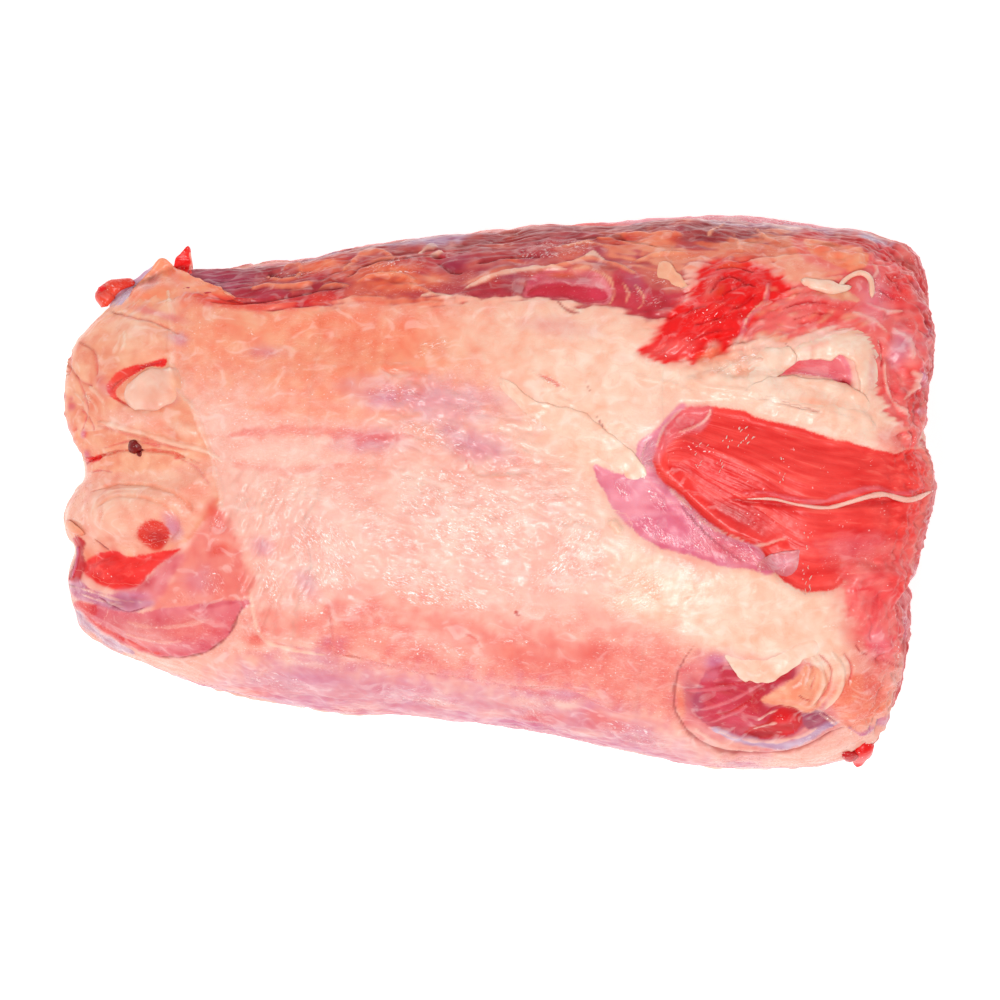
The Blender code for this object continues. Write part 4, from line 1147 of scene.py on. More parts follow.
def lower_corner() -> list[Item]:
    """The lower right corner: a second window into the muscle, and the fat that hangs over it.

    Returns:
        The items, lowest first.
    """
    t = Tissue
    veil = px(681, 694, 687, 676, 702, 664, 720, 658, 740, 668, 766, 672, 800, 664, 824, 680, 840, 712,
        852, 736, 832, 750, 800, 761, 760, 763, 720, 757, 694, 744, 680, 719)
    window = px(700, 712, 704, 696, 714, 680, 737, 676, 765, 683, 774, 680, 796, 668, 803, 676, 802, 686,
        790, 692, 777, 702, 770, 713, 777, 718, 797, 719, 810, 726, 816, 736, 804, 747, 777, 753, 758, 750,
        724, 742, 706, 730)
    red = px(774, 734, 780, 723, 792, 719, 805, 723, 810, 734, 802, 746, 784, 751, 764, 751, 752, 746,
        760, 738)
    wedge = px(770, 713, 780, 702, 794, 692, 804, 686, 814, 674, 828, 678, 838, 694, 834, 712, 818, 724,
        800, 719)
    lobe = px(838, 706, 848, 690, 866, 682, 886, 688, 892, 704, 884, 726, 866, 740, 852, 736)
    return [
        Patch(t.ROSE, veil, 4.0, 1.0, 0.6, sunk=1.0, swell=0.8, reach=8),
        *washes((t.LILAC, 722, 672, 4, 3.4, 20, 0.8), (t.LILAC, 800, 668, 3, 2, 40, 0.7),
            (t.MAUVE, 696, 706, 3, 8, 4, 0.5), (t.PEACH, 687, 716, 1.6, 8, 4, 0.6),
            (t.MEMBRANE, 740, 758, 14, 1.6, -3, 0.6)),
        Patch(t.MAUVE, window, 1.0, 0.6, 0.95, turn=-25),
        Patch(t.MAGENTA, window, 6.0, 1.6, 0.9, turn=-25, feather=1.6),
        *washes((t.MAUVE, 704, 714, 2.6, 5, 0, 0.8), (t.SHEATH, 718, 684, 4, 2.4, 20, 0.5),
            (t.CRIMSON, 764, 708, 4, 8, -30, 0.6), (t.CRIMSON, 790, 684, 4, 2, 34, 0.6)),
        *lines(t.ROSE, 0.6, 0.3, [702, 722, 728, 714, 752, 704, 774, 692], [690, 702, 714, 699, 740, 698],
            [712, 736, 736, 726, 756, 716], [720, 690, 736, 688, 752, 692]),
        *lines(t.CRIMSON, 0.5, -0.3, [716, 728, 738, 722, 756, 712, 768, 700], [724, 694, 744, 694,
            764, 690]),
        Patch(t.CRIMSON, red, 0.8, 0.4, turn=-30, sunk=0.6),
        *washes((t.TORN, 790, 730, 3.0, 2.6, 0, 0.5, 0.5), (t.MAROON, 766, 748, 6, 1.4, 4, 0.7)),
        Patch(t.MAUVE, px(810, 726, 820, 718, 834, 726, 846, 736, 832, 740, 816, 744), 0.8, 0.3, sunk=0.4),
        Patch(t.CAPSULE, wedge, 1.2, 0.4, swell=0.7, reach=3),
        Wash(t.PEACH, spot(800, 704), (4, 2.4), 40, 0.5),
        # A pale blue-white band along the lower rim: the membrane, with painted sheen where the rim turns
        # away.
        Streak(t.PEARL, px(716, 739, 736, 748, 760, 755, 792, 757, 816, 750, 836, 740, 848, 735), 1.5, 0.9,
            0.5, ragged=0.5),
        # Painted glints: fine pale lines on the band.
        *lines(t.WRINKLED, 0.4, 0.25, [724, 742, 744, 750, 776, 754, 806, 750, 830, 740], [820, 718,
            832, 724, 846, 734, 862, 740], [700, 742, 716, 752, 740, 760, 780, 763], [764, 732, 776, 725,
            786, 722], [760, 742, 772, 738, 784, 735], [826, 724, 836, 732, 846, 738]),
        # Painted shade: dark lines along the outer edge and under the overhanging fat.
        *lines(t.SEAM, 0.5, -0.5, [702, 650, 690, 668, 682, 690, 680, 718, 687, 735, 697, 748, 716, 758,
            744, 763, 782, 764, 816, 757, 841, 745, 856, 739], [735, 670, 740, 680, 752, 685, 768, 683,
            780, 677, 794, 667, 804, 661]),
        *lines(t.CRIMSON, 0.35, -0.3, [806, 704, 812, 708, 819, 710], [862, 650, 868, 660, 876, 664],
            [880, 656, 890, 668, 898, 673], [770, 736, 776, 722, 790, 717, 806, 722, 811, 734]),
        Patch(t.ORANGE, lobe, 2.4, 0.8, 0.75, swell=1.4, reach=5),
        Wash(t.SALMON, spot(880, 694), (5, 5), 0, 0.8),
        Streak(t.FAT, px(818, 664, 830, 680, 829, 698, 818, 714), 1.0, 0.9, 1.0, ragged=0.4),
        Streak(t.FAT, px(838, 660, 850, 680, 846, 700, 832, 722), 1.0, 0.9, 1.1, ragged=0.4),
        Streak(t.MEMBRANE, px(806, 660, 817, 676, 812, 694), 0.7, 0.8, 0.7, ragged=0.4),
        *lines(t.SALMON, 0.5, -0.6, [826, 662, 839, 678, 836, 698, 824, 718], [812, 668, 822, 682, 818, 700],
            [848, 656, 860, 676, 856, 696]),
        *lines(t.LILAC, 0.6, 0.3, [904, 680, 899, 704, 886, 730, 866, 746], [856, 738, 868, 744, 880, 738]),
        *washes((t.TORN, 884, 652, 4, 6, 30, 0.5), (t.PINK_MUSCLE, 872, 640, 7, 6, 0, 0.6),
            (t.SHEATH, 882, 300, 6, 9, 0, 0.55), (t.PEARL, 906, 350, 3, 7, 0, 0.45),
            (t.TORN, 900, 598, 4, 9, 4, 0.6), (t.SHEATH, 884, 652, 4, 7, 10, 0.4)),
        *glistens((840, 634, 7, 3, 10, 0.6), (790, 728, 4, 3, 10, 0.7), (730, 745, 6, 2, -10, 0.8)),
    ]


def front_side() -> list[Item]:
    """The front side, seen along +Y: membranes over muscle, with seams of fat.

    Returns:
        The items, lowest first.
    """
    t = Tissue
    whole = [(-112, 4), (112, 4), (116, 62), (-112, 54)]
    sheath = [(-100, 16), (-60, 10), (-20, 14), (-6, 26), (-30, 36), (-70, 37), (-98, 28)]
    muscle = [(-86, 18), (-56, 14), (-26, 19), (-36, 29), (-72, 31)]
    lower = [(16, 12), (60, 7), (98, 10), (106, 22), (74, 30), (34, 27)]
    return [
        *blotches([t.SALMON, t.LILAC, t.FAT, t.ROSE, t.MEMBRANE, t.PEACH], whole, 90, (13, 4.5), 2, 0.55,
            0.5),
        Patch(t.SHEATH, sheath, 2.2, 1.8, 0.8, sunk=0.8, swell=1.4, reach=9, turn=4, feather=3),
        Patch(t.PINK_MUSCLE, muscle, 2.6, 1.6, 0.75, turn=4, feather=3),
        Patch(t.ROSE, lower, 2.2, 1.8, 0.9, sunk=0.8, swell=1.4, reach=8, turn=-3, feather=3),
        Patch(t.MAGENTA, [(40, 13), (80, 11), (98, 18), (66, 24)], 2.6, 1.6, 0.7, feather=3),
        # Along the girth, lilac and pearly streaks: the membrane's tint, with painted sheen where the rim
        # turns away.
        Streak(t.LILAC, [(-112, 40), (-60, 43), (0, 44), (60, 45), (112, 44)], 8.0, 0.75, ragged=2.0),
        Streak(t.PEARL, [(-108, 40), (-60, 44), (-20, 41), (30, 46), (70, 42), (100, 46)], 3.4, 0.4,
            ragged=3.0),
        Streak(t.FAT, [(-112, 28), (-70, 33), (-20, 30), (16, 27), (60, 31), (112, 28)], 3.0, 0.85, 0.8,
            ragged=2.4),
        Streak(t.FAT, [(-8, 24), (8, 20), (20, 12), (40, 5)], 2.2, 0.85, -0.8, ragged=1.6),
        Streak(t.PEARL, [(-100, 11), (-40, 7), (10, 9)], 2.0, 0.6, ragged=1.4),
        Streak(t.MEMBRANE, [(-90, 26), (-60, 25), (-20, 28)], 0.9, 0.7, 0.4, ragged=0.6),
        Wash(t.PEACH, (70, 58), (30, 6), 2, 0.5),
        Wash(t.SALMON, (-40, 56), (36, 6), 2, 0.5),
        Rumple(whole, (13, 3.2), 0.8, 3, 6.0),
        Glisten((-52, 24), (34, 9), 4, 0.85),
        Glisten((62, 20), (28, 8), -3, 0.8),
        Glisten((6, 47), (34, 6), 2, 0.85),
    ]


def back_side() -> list[Item]:
    """The back side: darker muscles under silverskin, with seams of fat.

    Returns:
        The items, lowest first.
    """
    t = Tissue
    whole = [(-110, 4), (112, 4), (114, 66), (-108, 56)]
    upper = [(-96, 34), (-50, 42), (-8, 40), (6, 50), (-30, 58), (-86, 50)]
    middle = [(-4, 26), (40, 18), (96, 22), (108, 38), (70, 46), (22, 42)]
    lower = [(-100, 12), (-60, 6), (-14, 10), (-10, 22), (-50, 29), (-94, 24)]
    return [
        *blotches([t.RUSSET, t.ROSE, t.PURPLE, t.SALMON, t.MEMBRANE, t.PEACH, t.SHEATH], whole, 90,
            (13, 4.2), 2, 0.5, 0.5),
        Patch(t.PURPLE, upper, 2.2, 1.8, 0.8, sunk=0.7, swell=1.4, reach=8, turn=6, feather=3),
        Patch(t.MUSCLE, middle, 2.0, 1.6, 0.85, sunk=1.0, swell=2.0, reach=10, turn=-3, feather=3),
        Patch(t.SHEATH, [(30, 34), (70, 28), (108, 32), (100, 44), (60, 48)], 3.0, 2.0, 0.75, turn=-3,
            feather=4),
        Patch(t.SHEATH, lower, 2.4, 1.8, 0.85, sunk=0.7, swell=1.2, reach=8, turn=3, feather=3),
        Streak(t.FAT, [(-108, 30), (-60, 35), (-10, 33), (10, 24), (40, 14), (90, 12)], 3.0, 0.85, -1.2,
            ragged=2.2),
        Streak(t.MAROON, [(-88, 44), (-40, 50), (20, 53), (70, 54)], 9.0, 0.7, ragged=2.4),
        # Painted sheen: a pale pearly streak along the girth.
        Streak(t.PEARL, [(-70, 44), (-40, 46), (0, 48), (50, 48), (108, 46)], 3.4, 0.85, ragged=1.6),
        Streak(t.CRIMSON, [(84, 52), (112, 50)], 5.0, 0.7, ragged=1.6),
        Streak(t.MEMBRANE, [(14, 30), (50, 27), (90, 30)], 0.9, 0.6, 0.4, ragged=0.6),
        Rumple(whole, (13, 3.2), 0.8, 3, 6.0),
        Glisten((-50, 18), (34, 8), 3, 0.85),
        Glisten((70, 38), (26, 7), -3, 0.85),
        Glisten((-40, 47), (30, 6), 6, 0.7),
    ]


def cut_face() -> list[Item]:
    """The cut end: the bared ends of the muscles and the fat round them.

    Returns:
        The items, lowest first.
    """
    t = Tissue
    return [
        CutMuscles(((-44, 46, 24, 3.2), (-8, 56, 25, 4.0), (34, 58, 26, 3.6), (54, 34, 20, 2.6),
            (8, 24, 22, 2.8), (-36, 22, 18, 2.2))),
        Streak(t.FAT, [(-70, 30), (-58, 62), (-20, 82), (20, 86), (52, 78), (68, 50)], 3.4, 0.85, 0.6,
            ragged=2.0),
        Streak(t.MEMBRANE, [(-66, 24), (-48, 8), (0, 4), (48, 8), (64, 26)], 3.0, 0.8, 0.3, ragged=2.0),
        Wash(t.TENDON, (14, 42), (6, 4), 20, 0.9, 1.2),
        Wash(t.TENDON, (-26, 40), (4, 3), 60, 0.85, 0.8),
        Wash(t.CRIMSON, (44, 52), (12, 8), 30, 0.7),
        Wash(t.CRIMSON, (-14, 30), (12, 6), -10, 0.6),
        *blotches([t.CRIMSON, t.TORN, t.ROSE, t.MEMBRANE, t.PINK_MUSCLE], [(-72, 8), (66, 8), (66, 80),
            (-70, 74)], 90, (4.0, 2.2), 30, 0.45, 0.6),
        Rumple([(-78, 2), (72, 2), (72, 90), (-78, 84)], (5.5, 4.0), 1.6, 20, 2.0),
    ]


def knuckle_face() -> list[Item]:
    """The knuckle end: the capsule over the joint, tendons, and scraps of muscle below.

    Returns:
        The items, lowest first.
    """
    t = Tissue
    return [
        *blotches([t.CAPSULE, t.PEACH, t.ROSE, t.FAT, t.BLOOD, t.MEMBRANE], [(-56, 4), (60, 4), (60, 56),
            (-54, 50)], 60, (5.0, 2.6), 40, 0.5, 0.7),
        Wash(t.FAT, (30, 44), (18, 12), 0, 0.6, 2.0),
        Wash(t.MEMBRANE, (-12, 36), (20, 14), 0, 0.7, 2.0),
        Wash(t.TENDON, (4, 22), (10, 6), 0, 0.8, 1.2),
        Wash(t.MUSCLE, (-38, 22), (12, 9), -20, 0.8, 0.6),
        Wash(t.PURPLE, (44, 20), (12, 8), 20, 0.8, 0.4),
        Wash(t.CRIMSON, (22, 12), (14, 5), 0, 0.5),
        Streak(t.BLOOD, [(-48, 38), (-30, 34), (-14, 20), (-6, 8)], 1.4, 0.8, -1.4, ragged=0.8),
        Streak(t.BLOOD, [(8, 52), (10, 36), (20, 26), (44, 30)], 1.2, 0.6, -1.2, ragged=0.8),
        Streak(t.FAT, [(-40, 10), (-10, 12), (24, 16), (52, 14)], 1.8, 0.7, 0.6, ragged=1.0),
    ]


def underside() -> list[Item]:
    """The underside, seen from below: silverskin and fat, pressed flat where it lies.

    Returns:
        The items, lowest first.
    """
    t = Tissue
    return [
        *blotches([t.FAT, t.SALMON, t.SHEATH, t.MEMBRANE, t.ROSE], [(-108, -66), (108, -70), (110, 66),
            (-108, 56)], 90, (13, 5), 4, 0.55, 0.0),
        Wash(t.FAT, (-30, 16), (60, 18), 6, 0.8),
        Wash(t.SHEATH, (40, -24), (54, 18), -8, 0.8),
        Wash(t.MAGENTA, (70, 34), (36, 14), 6, 0.6),
        Wash(t.RUSSET, (-70, -20), (34, 12), 0, 0.6),
        Wash(t.FAT, (10, -48), (70, 8), -6, 0.7),
        Streak(t.FAT, [(-106, -8), (-50, -4), (10, 4), (60, 10), (108, 8)], 3.0, 0.85, ragged=2.0),
        Streak(t.PEARL, [(-60, 44), (0, 40), (60, 52)], 2.4, 0.7, ragged=1.4),
        Streak(t.BLOOD, [(-20, -16), (20, -8), (60, -4)], 1.4, 0.5, ragged=1.4),
    ]


BASES = {
    Side.TOP: Tissue.MEMBRANE,
    Side.FRONT: Tissue.MEMBRANE,
    Side.BACK: Tissue.SALMON,
    Side.CUT: Tissue.CUT_MUSCLE,
    Side.KNUCKLE: Tissue.CAPSULE,
    Side.UNDER: Tissue.MEMBRANE,
}

ITEMS = {
    Side.TOP: lambda: [
        *fat_and_membranes(), *knuckle_joint(), *back_band(), *bare_muscles(), *lower_corner()],
    Side.FRONT: front_side,
    Side.BACK: back_side,
    Side.CUT: cut_face,
    Side.KNUCKLE: knuckle_face,
    Side.UNDER: underside,
}


class Value:
    """A number inside a material. Arithmetic on it adds Math nodes."""

    def __init__(self, recipe: "Recipe", socket: Socket) -> None:
        """Wraps a socket of a recipe's node."""
        self.recipe, self.socket = recipe, socket

    def math(self, operation: str, *others: "Value | float", flip: bool = False) -> "Value":
        """Adds a Math node on this and other numbers, which come first if flip is set."""
        terms = (*others, self) if flip else (self, *others)
        return Value(self.recipe, self.recipe.node(
            "ShaderNodeMath", {"operation": operation}, dict(enumerate(terms))).outputs[0])

    def __add__(self, other: "Value | float") -> "Value":
        """The sum."""
        return self.math("ADD", other)

    def __sub__(self, other: "Value | float") -> "Value":
        """The difference."""
        return self.math("SUBTRACT", other)

    def __rsub__(self, other: float) -> "Value":
        """The difference from a plain number."""
        return self.math("SUBTRACT", other, flip=True)

    def __mul__(self, other: "Value | float") -> "Value":
        """The product."""
        return self.math("MULTIPLY", other)

    def __abs__(self) -> "Value":
        """The size without its sign."""
        return self.math("ABSOLUTE")

    __radd__ = __add__
    __rmul__ = __mul__


class Recipe:
    """A material as it is put together, node by node."""

    def __init__(self, name: str) -> None:
        """Starts an empty material.

        Args:
            name: Its name.
        """
        self.material = bpy.data.materials.new(name)
        self.material.use_nodes = True
        self.tree = self.material.node_tree
        self.tree.nodes.clear()

    def node(self, kind: str, settings: dict[str, Any] | None = None,
             sockets: dict[int | str, Any] | None = None) -> Node:
        """Adds a node.

        Args:
            kind: The node's type.
            settings: The values of its properties, which are set first.
            sockets: For each input, a plain value, a socket or a Value.

        Returns:
            The new node.
        """
        node = self.tree.nodes.new(kind)
        for name, value in (settings or {}).items():
            setattr(node, name, value)
        for name, value in (sockets or {}).items():
            source = value.socket if isinstance(value, Value) else value
            if isinstance(source, Socket):
                self.tree.links.new(source, node.inputs[name])
            else:
                node.inputs[name].default_value = source
        return node

    def attribute(self, name: str) -> Node:
        """Reads what was laid on the points under a name."""
        return self.node("ShaderNodeAttribute", {"attribute_name": name})

    def stretched(self, vector: Socket, scale: Sequence[float]) -> Socket:
        """Scales a vector along each axis."""
        return self.node("ShaderNodeVectorMath", {"operation": "MULTIPLY"}, {0: vector, 1: scale}).outputs[0]

    def noise(self, vector: Socket, size: tuple[float, float], detail: float = 2.0,
              distortion: float = 0.0) -> Value:
        """Makes noise from 0 to 1.

        Args:
            vector: Where it is read.
            size: The length and width of its swellings.
            detail: How many times finer noise is laid on it.
            distortion: How far it is bent.

        Returns:
            The noise.
        """
        length, width = size
        spread = self.stretched(vector, (1 / length, 1 / width, 1 / width))
        sockets = {"Vector": spread, "Scale": 1.0, "Detail": detail, "Distortion": distortion}
        return Value(self, self.node("ShaderNodeTexNoise", {}, sockets).outputs[0])

    def ramp(self, value: Value, low: float, high: float) -> Value:
        """Rises smoothly from 0 to 1 as a value goes from low to high."""
        sockets = {"Value": value, "From Min": low, "From Max": high}
        node = self.node("ShaderNodeMapRange", {"interpolation_type": "SMOOTHSTEP"}, sockets)
        return Value(self, node.outputs[0])

    def mix(self, share: Value, one: Any, other: Any, blend: str = "MIX") -> Socket:
        """Mixes a colour into another by a share."""
        settings = {"data_type": "RGBA", "blend_type": blend, "clamp_factor": True}
        return self.node("ShaderNodeMix", settings, {0: share, 6: one, 7: other}).outputs[2]


@dataclass(frozen=True)
class FleshFinish:
    """The finish of raw flesh: wet, a little see-through, with fibres, glinting wrinkles and pearly skins.

    Attributes:
        fibre, wrinkle, crease, cloud: The length and width of a bundle of muscle fibres, of a wrinkle, of a
            fine wet crease and of a cloud of colour.
        swell, grit: The sizes of small swellings and of grit.
        fibre_height, wrinkle_height, crease_height, swell_height, grit_height: How far each stands out.
        mottle: How strong the clouds of colour are.
        rough, gloss, index: How rough the surface is, and how strongly and with which index it mirrors.
        inner, depth: How much light goes in, and how far, in metres.
    """

    fibre: tuple[float, float] = (34.0, 1.8)
    wrinkle: tuple[float, float] = (4.0, 1.4)
    crease: tuple[float, float] = (1.5, 0.6)
    cloud: tuple[float, float] = (7.0, 4.6)
    swell: float = 2.8
    grit: float = 0.7
    fibre_height: float = 0.24
    wrinkle_height: float = 0.11
    crease_height: float = 0.2
    swell_height: float = 0.2
    grit_height: float = 0.014
    mottle: float = 0.4
    rough: float = 0.32
    gloss: float = 0.38
    index: float = 1.42
    inner: float = 0.2
    depth: float = 0.002

    def make(self, name: str) -> Material:
        """Builds the material, which reads tone, over, deep, marks and grain from the points.

        Args:
            name: Its name.

        Returns:
            The material.
        """
        r = Recipe(name)
        place = r.stretched(r.node("ShaderNodeTexCoord").outputs["Object"], (1000, 1000, 1000))
        grain = r.attribute("grain").outputs["Vector"]
        marks = r.attribute("marks")
        fibrous, skinny, wet = (Value(r, socket) for socket in r.node(
            "ShaderNodeSeparateColor", {}, {0: marks.outputs["Color"]}).outputs)
        fatty = Value(r, marks.outputs["Alpha"])

        fibres = r.noise(grain, self.fibre, 2.0, 0.4)
        wrinkles = 1 - abs(r.noise(grain, self.wrinkle, 1.0, 0.9) * 2 - 1)
        creases = r.noise(grain, self.crease, 1.5, 1.3)
        clouds = r.noise(place, self.cloud, 3.0, 1.2)
        veins = 1 - abs(clouds * 2 - 1)
        swells = r.noise(place, (self.swell, self.swell), 1.0)
        grit = r.noise(place, (self.grit, self.grit), 1.0)
        plain = 1 - fibrous

        edge = Value(r, r.attribute("deep").outputs["Fac"]) + (grit - 0.5) * 0.9
        colour = r.mix(r.ramp(edge, -0.5, 0.5), r.attribute("tone").outputs["Color"],
                       r.attribute("over").outputs["Color"])
        # Painted light: a share for painted shade and highlights in wet creases, and one for painted glints.
        painted_crease_light = (wet * wet + skinny * skinny * 0.2) * plain * r.ramp(clouds, 0.4, 0.52)
        glints = r.ramp(wet, 0.1, 0.6) * r.ramp(grit, 0.69, 0.75) * r.ramp(clouds, 0.5, 0.58)
        # In turn: gaps between fibres and bright fibres, dark and pale clouds, painted shade in the creases
        # and painted highlights on them, the veins in fat, and painted glints.
        for share, tint, blend in (
            (fibrous * r.ramp(fibres, 0.56, 0.34) * 0.45, (0.82, 0.42, 0.44, 1), "MULTIPLY"),
            (fibrous * r.ramp(fibres, 0.54, 0.76) * 0.25, (1.0, 0.24, 0.18, 1), "MIX"),
            (plain * r.ramp(clouds, 0.47, 0.62) * self.mottle, (1.0, 0.85, 0.8, 1), "MULTIPLY"),
            (plain * r.ramp(clouds, 0.46, 0.3) * (self.mottle * 0.4), (1.0, 0.94, 0.9, 1), "MIX"),
            (painted_crease_light * r.ramp(creases, 0.46, 0.38) * 0.7, (0.95, 0.78, 0.76, 1), "MULTIPLY"),
            (painted_crease_light * r.ramp(creases, 0.58, 0.66) * 0.8, (1.0, 0.94, 0.92, 1), "MIX"),
            (fatty * r.ramp(veins, 0.94, 1.0) * 0.25, (1.0, 0.66, 0.6, 1), "MULTIPLY"),
            (glints * 0.8, (1.0, 0.97, 0.95, 1), "MIX"),
        ):
            colour = r.mix(share, colour, tint, blend)

        height = fibrous * (fibres - 0.5) * self.fibre_height + swells * self.swell_height
        height = height + (wet + skinny * 0.6) * (wrinkles - 0.7) * self.wrinkle_height
        height = height - fatty * (veins - 0.7) * (self.wrinkle_height * 0.5) + grit * self.grit_height
        height = height + wet * plain * creases * self.crease_height
        bump = r.node("ShaderNodeBump", {}, {"Strength": 1.0, "Distance": MM, "Height": height})
        rough = self.rough - wet * 0.1 + fibrous * 0.1 + (grit - 0.5) * 0.1

        surface = r.node("ShaderNodeBsdfPrincipled", {}, {
            "Base Color": colour, "Roughness": rough, "Normal": bump.outputs[0], "IOR": self.index,
            "Specular IOR Level": self.gloss, "Subsurface Weight": self.inner,
            "Subsurface Radius": (1.0, 0.35, 0.25), "Subsurface Scale": self.depth})
        r.node("ShaderNodeOutputMaterial", {}, {"Surface": surface.outputs[0]})
        return r.material


def clear_selection() -> None:
    """Deselects every object, the solids among them."""
    for thing in bpy.context.selected_objects:
        thing.select_set(False)


def newest(name: str) -> Piece:
    """The piece that was made last, which gets its name."""
    piece = bpy.context.object
    piece.name = piece.data.name = name
    return piece


def solid_box() -> tuple[Array, Array]:
    """The lowest and the highest corner of the shank's solid, in millimetres."""
    low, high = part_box(NODE)
    return np.array(low) / MM, np.array(high) / MM


def points_of(mesh: Mesh) -> Array:
    """The mesh's points, in millimetres."""
    found = np.empty(len(mesh.vertices) * 3)
    mesh.vertices.foreach_get("co", found)
    return found.reshape(-1, 3) / MM


def normals_of(mesh: Mesh) -> Array:
    """The direction in which the mesh faces at each point."""
    found = np.empty(len(mesh.vertices) * 3)
    mesh.vertices.foreach_get("normal", found)
    return found.reshape(-1, 3)


def move_points(mesh: Mesh, places: Array) -> None:
    """Moves the mesh's points to places in millimetres."""
    mesh.vertices.foreach_set("co", (places * MM).ravel())
    mesh.update()


def dress(piece: Piece, coat: Coat, finish: Material) -> None:
    """Puts a coat's colours and textures on a piece, and gives it its finish.

    Args:
        piece: The piece, whose points are the coat's.
        coat: What covers it.
        finish: The material that reads the coat.
    """
    mesh = piece.data
    opaque = np.ones((len(coat.places), 1))
    for name, kind, key, values in (
        ("tone", "FLOAT_COLOR", "color", np.hstack([coat.tone, opaque])),
        ("over", "FLOAT_COLOR", "color", np.hstack([coat.over, opaque])),
        ("deep", "FLOAT", "value", coat.deep),
        ("marks", "FLOAT_COLOR", "color", coat.marks * coat.calm[:, None]),
        ("grain", "FLOAT_VECTOR", "vector", coat.grain),
    ):
        mesh.attributes.new(name, kind, "POINT").data.foreach_set(key, values.astype(np.float32).ravel())
    mesh.materials.clear()
    mesh.materials.append(finish)
    mesh.polygons.foreach_set("use_smooth", [True] * len(mesh.polygons))
    mesh.update()


@dataclass
class Flesh:
    """The flesh of the shank: one closed skin with its relief and colours.

    Attributes:
        hidden: How far within the rim of the upper skins each of its points lies.
        start, span: The corner and size of its box, before it was stretched to the solid's.
        cuts: How often the block is cut along, across and up, in two rounds each.
        coarser: How many times the underside's mesh is thinned.
        flat_under: What lies lower than this is pressed flat.
        uneven: The size and height of wide, middling and small swellings.
        fibre_relief, crease_relief, wet_relief: How high the textures stand out.
        sinks: How far within the upper skins it starts to sink below them, and has sunk.
    """

    form: Form = field(default_factory=Form)
    hidden: Array = field(init=False)
    start: Array = field(init=False)
    span: Array = field(init=False)
    cuts: tuple[tuple[int, int], ...] = ((12, 19), (9, 15), (5, 8))
    coarser: int = 2
    flat_under: float = 0.4
    uneven: tuple[tuple[float, float], ...] = ((26.0, 1.1), (11.0, 0.45), (5.0, 0.16))
    fibre_relief: float = 0.14
    crease_relief: float = 0.12
    wet_relief: float = 0.07
    sinks: tuple[float, float] = (5.0, 9.0)

    def block(self) -> Piece:
        """Cuts a cube into fine faces along, across and up, with coarser ones below.

        Returns:
            The cube.
        """
        clear_selection()
        bpy.ops.mesh.primitive_cube_add(size=2)
        block = newest("shank_flesh")
        bpy.ops.object.mode_set(mode="EDIT")
        for axis, rounds in enumerate(self.cuts):
            for count in rounds:
                self.select_edges(block.data, axis)
                bpy.ops.mesh.subdivide(number_cuts=count)
        bm = bmesh.from_edit_mesh(block.data)
        bm.select_mode = {"FACE"}
        for face in bm.faces:
            face.select = face.normal.z < -0.9
        bm.select_flush_mode()
        bmesh.update_edit_mesh(block.data)
        bpy.ops.mesh.unsubdivide(iterations=self.coarser)
        bpy.ops.object.mode_set(mode="OBJECT")
        return block

    @staticmethod
    def select_edges(mesh: Mesh, axis: int) -> None:
        """Selects the edges that run along an axis.

        Args:
            mesh: The mesh, in edit mode.
            axis: 0, 1 or 2 for X, Y or Z.
        """
        bm = bmesh.from_edit_mesh(mesh)
        bm.select_mode = {"EDGE"}
        for edge in bm.edges:
            span = edge.verts[1].co - edge.verts[0].co
            edge.select = abs(span[axis]) > 0.9 * span.length
        bm.select_flush_mode()
        bmesh.update_edit_mesh(mesh)

    @staticmethod
    def weights(places: Array, normals: Array) -> dict[Side, Array]:
        """Works out how far each point belongs to each side.

        Args:
            places: The points.
            normals: The directions in which the skin faces there.

        Returns:
            The shares of each side, in the order in which the sides are painted.
        """
        wobble = 0.07 * layered_noise(places, 12, 91)
        x, y, z = normals.T
        return {
            Side.UNDER: np.ones(len(places)),
            Side.FRONT: ramp(wobble - y, 0.3, 0.6),
            Side.BACK: ramp(wobble + y, 0.3, 0.6),
            Side.KNUCKLE: ramp(wobble - x, 0.45, 0.75),
            Side.CUT: ramp(wobble + x, 0.45, 0.75),
            Side.TOP: ramp(wobble + z, 0.03, 0.22),
        }

    def paint(self, places: Array, normals: Array) -> Coat:
        """Lays the tissues of every side on the skin.

        Args:
            places: The points.
            normals: The directions in which the skin faces there.

        Returns:
            The coat.
        """
        coat = Coat(places)
        views = {
            Side.TOP: on_picture(places),
            Side.UNDER: places[:, [0, 1]],
            Side.FRONT: places[:, [0, 2]],
            Side.BACK: places[:, [0, 2]],
            Side.CUT: places[:, [1, 2]],
            Side.KNUCKLE: places[:, [1, 2]],
        }
        for side, weight in self.weights(places, normals).items():
            coat.lay(BASES[side], weight)
            view = View(np.where(weight[:, None] > 0, views[side], FAR_AWAY), weight)
            for item in ITEMS[side]():
                item.paint(coat, view)
        return coat

    def grow(self, skin: Piece) -> tuple[Coat, Array]:
        """Gives block points the form of the shank, paints them and raises their relief.

        Args:
            skin: The piece, with its points on a two-unit block.

        Returns:
            Its coat, and where its points come to lie.
        """
        mesh = skin.data
        move_points(mesh, self.form.shape(points_of(mesh) * MM))
        places, normals = points_of(mesh), normals_of(mesh)
        coat = self.paint(places, normals)
        coat.relief += sum(
            height * noise(places, size, 40 + number) for number, (size, height) in enumerate(self.uneven))
        places = places + normals * coat.relief[:, None]
        move_points(mesh, places)
        fibrous, skinny, wet, _ = (coat.marks * coat.calm[:, None]).T
        creases = np.abs(layered_noise(coat.grain, (6, 3, 3), 82, 2)) - 0.4
        fine = self.fibre_relief * fibrous * noise(coat.grain, (14, 2.2, 2.2), 81)
        fine += (self.crease_relief * skinny + self.crease_relief * wet) * creases
        fine += self.wet_relief * wet * noise(coat.grain, (3.4, 1.5, 1.5), 83)
        places = places + normals_of(mesh) * fine[:, None]
        places[:, 2] = np.where(places[:, 2] < self.flat_under, 0, places[:, 2])
        return coat, places

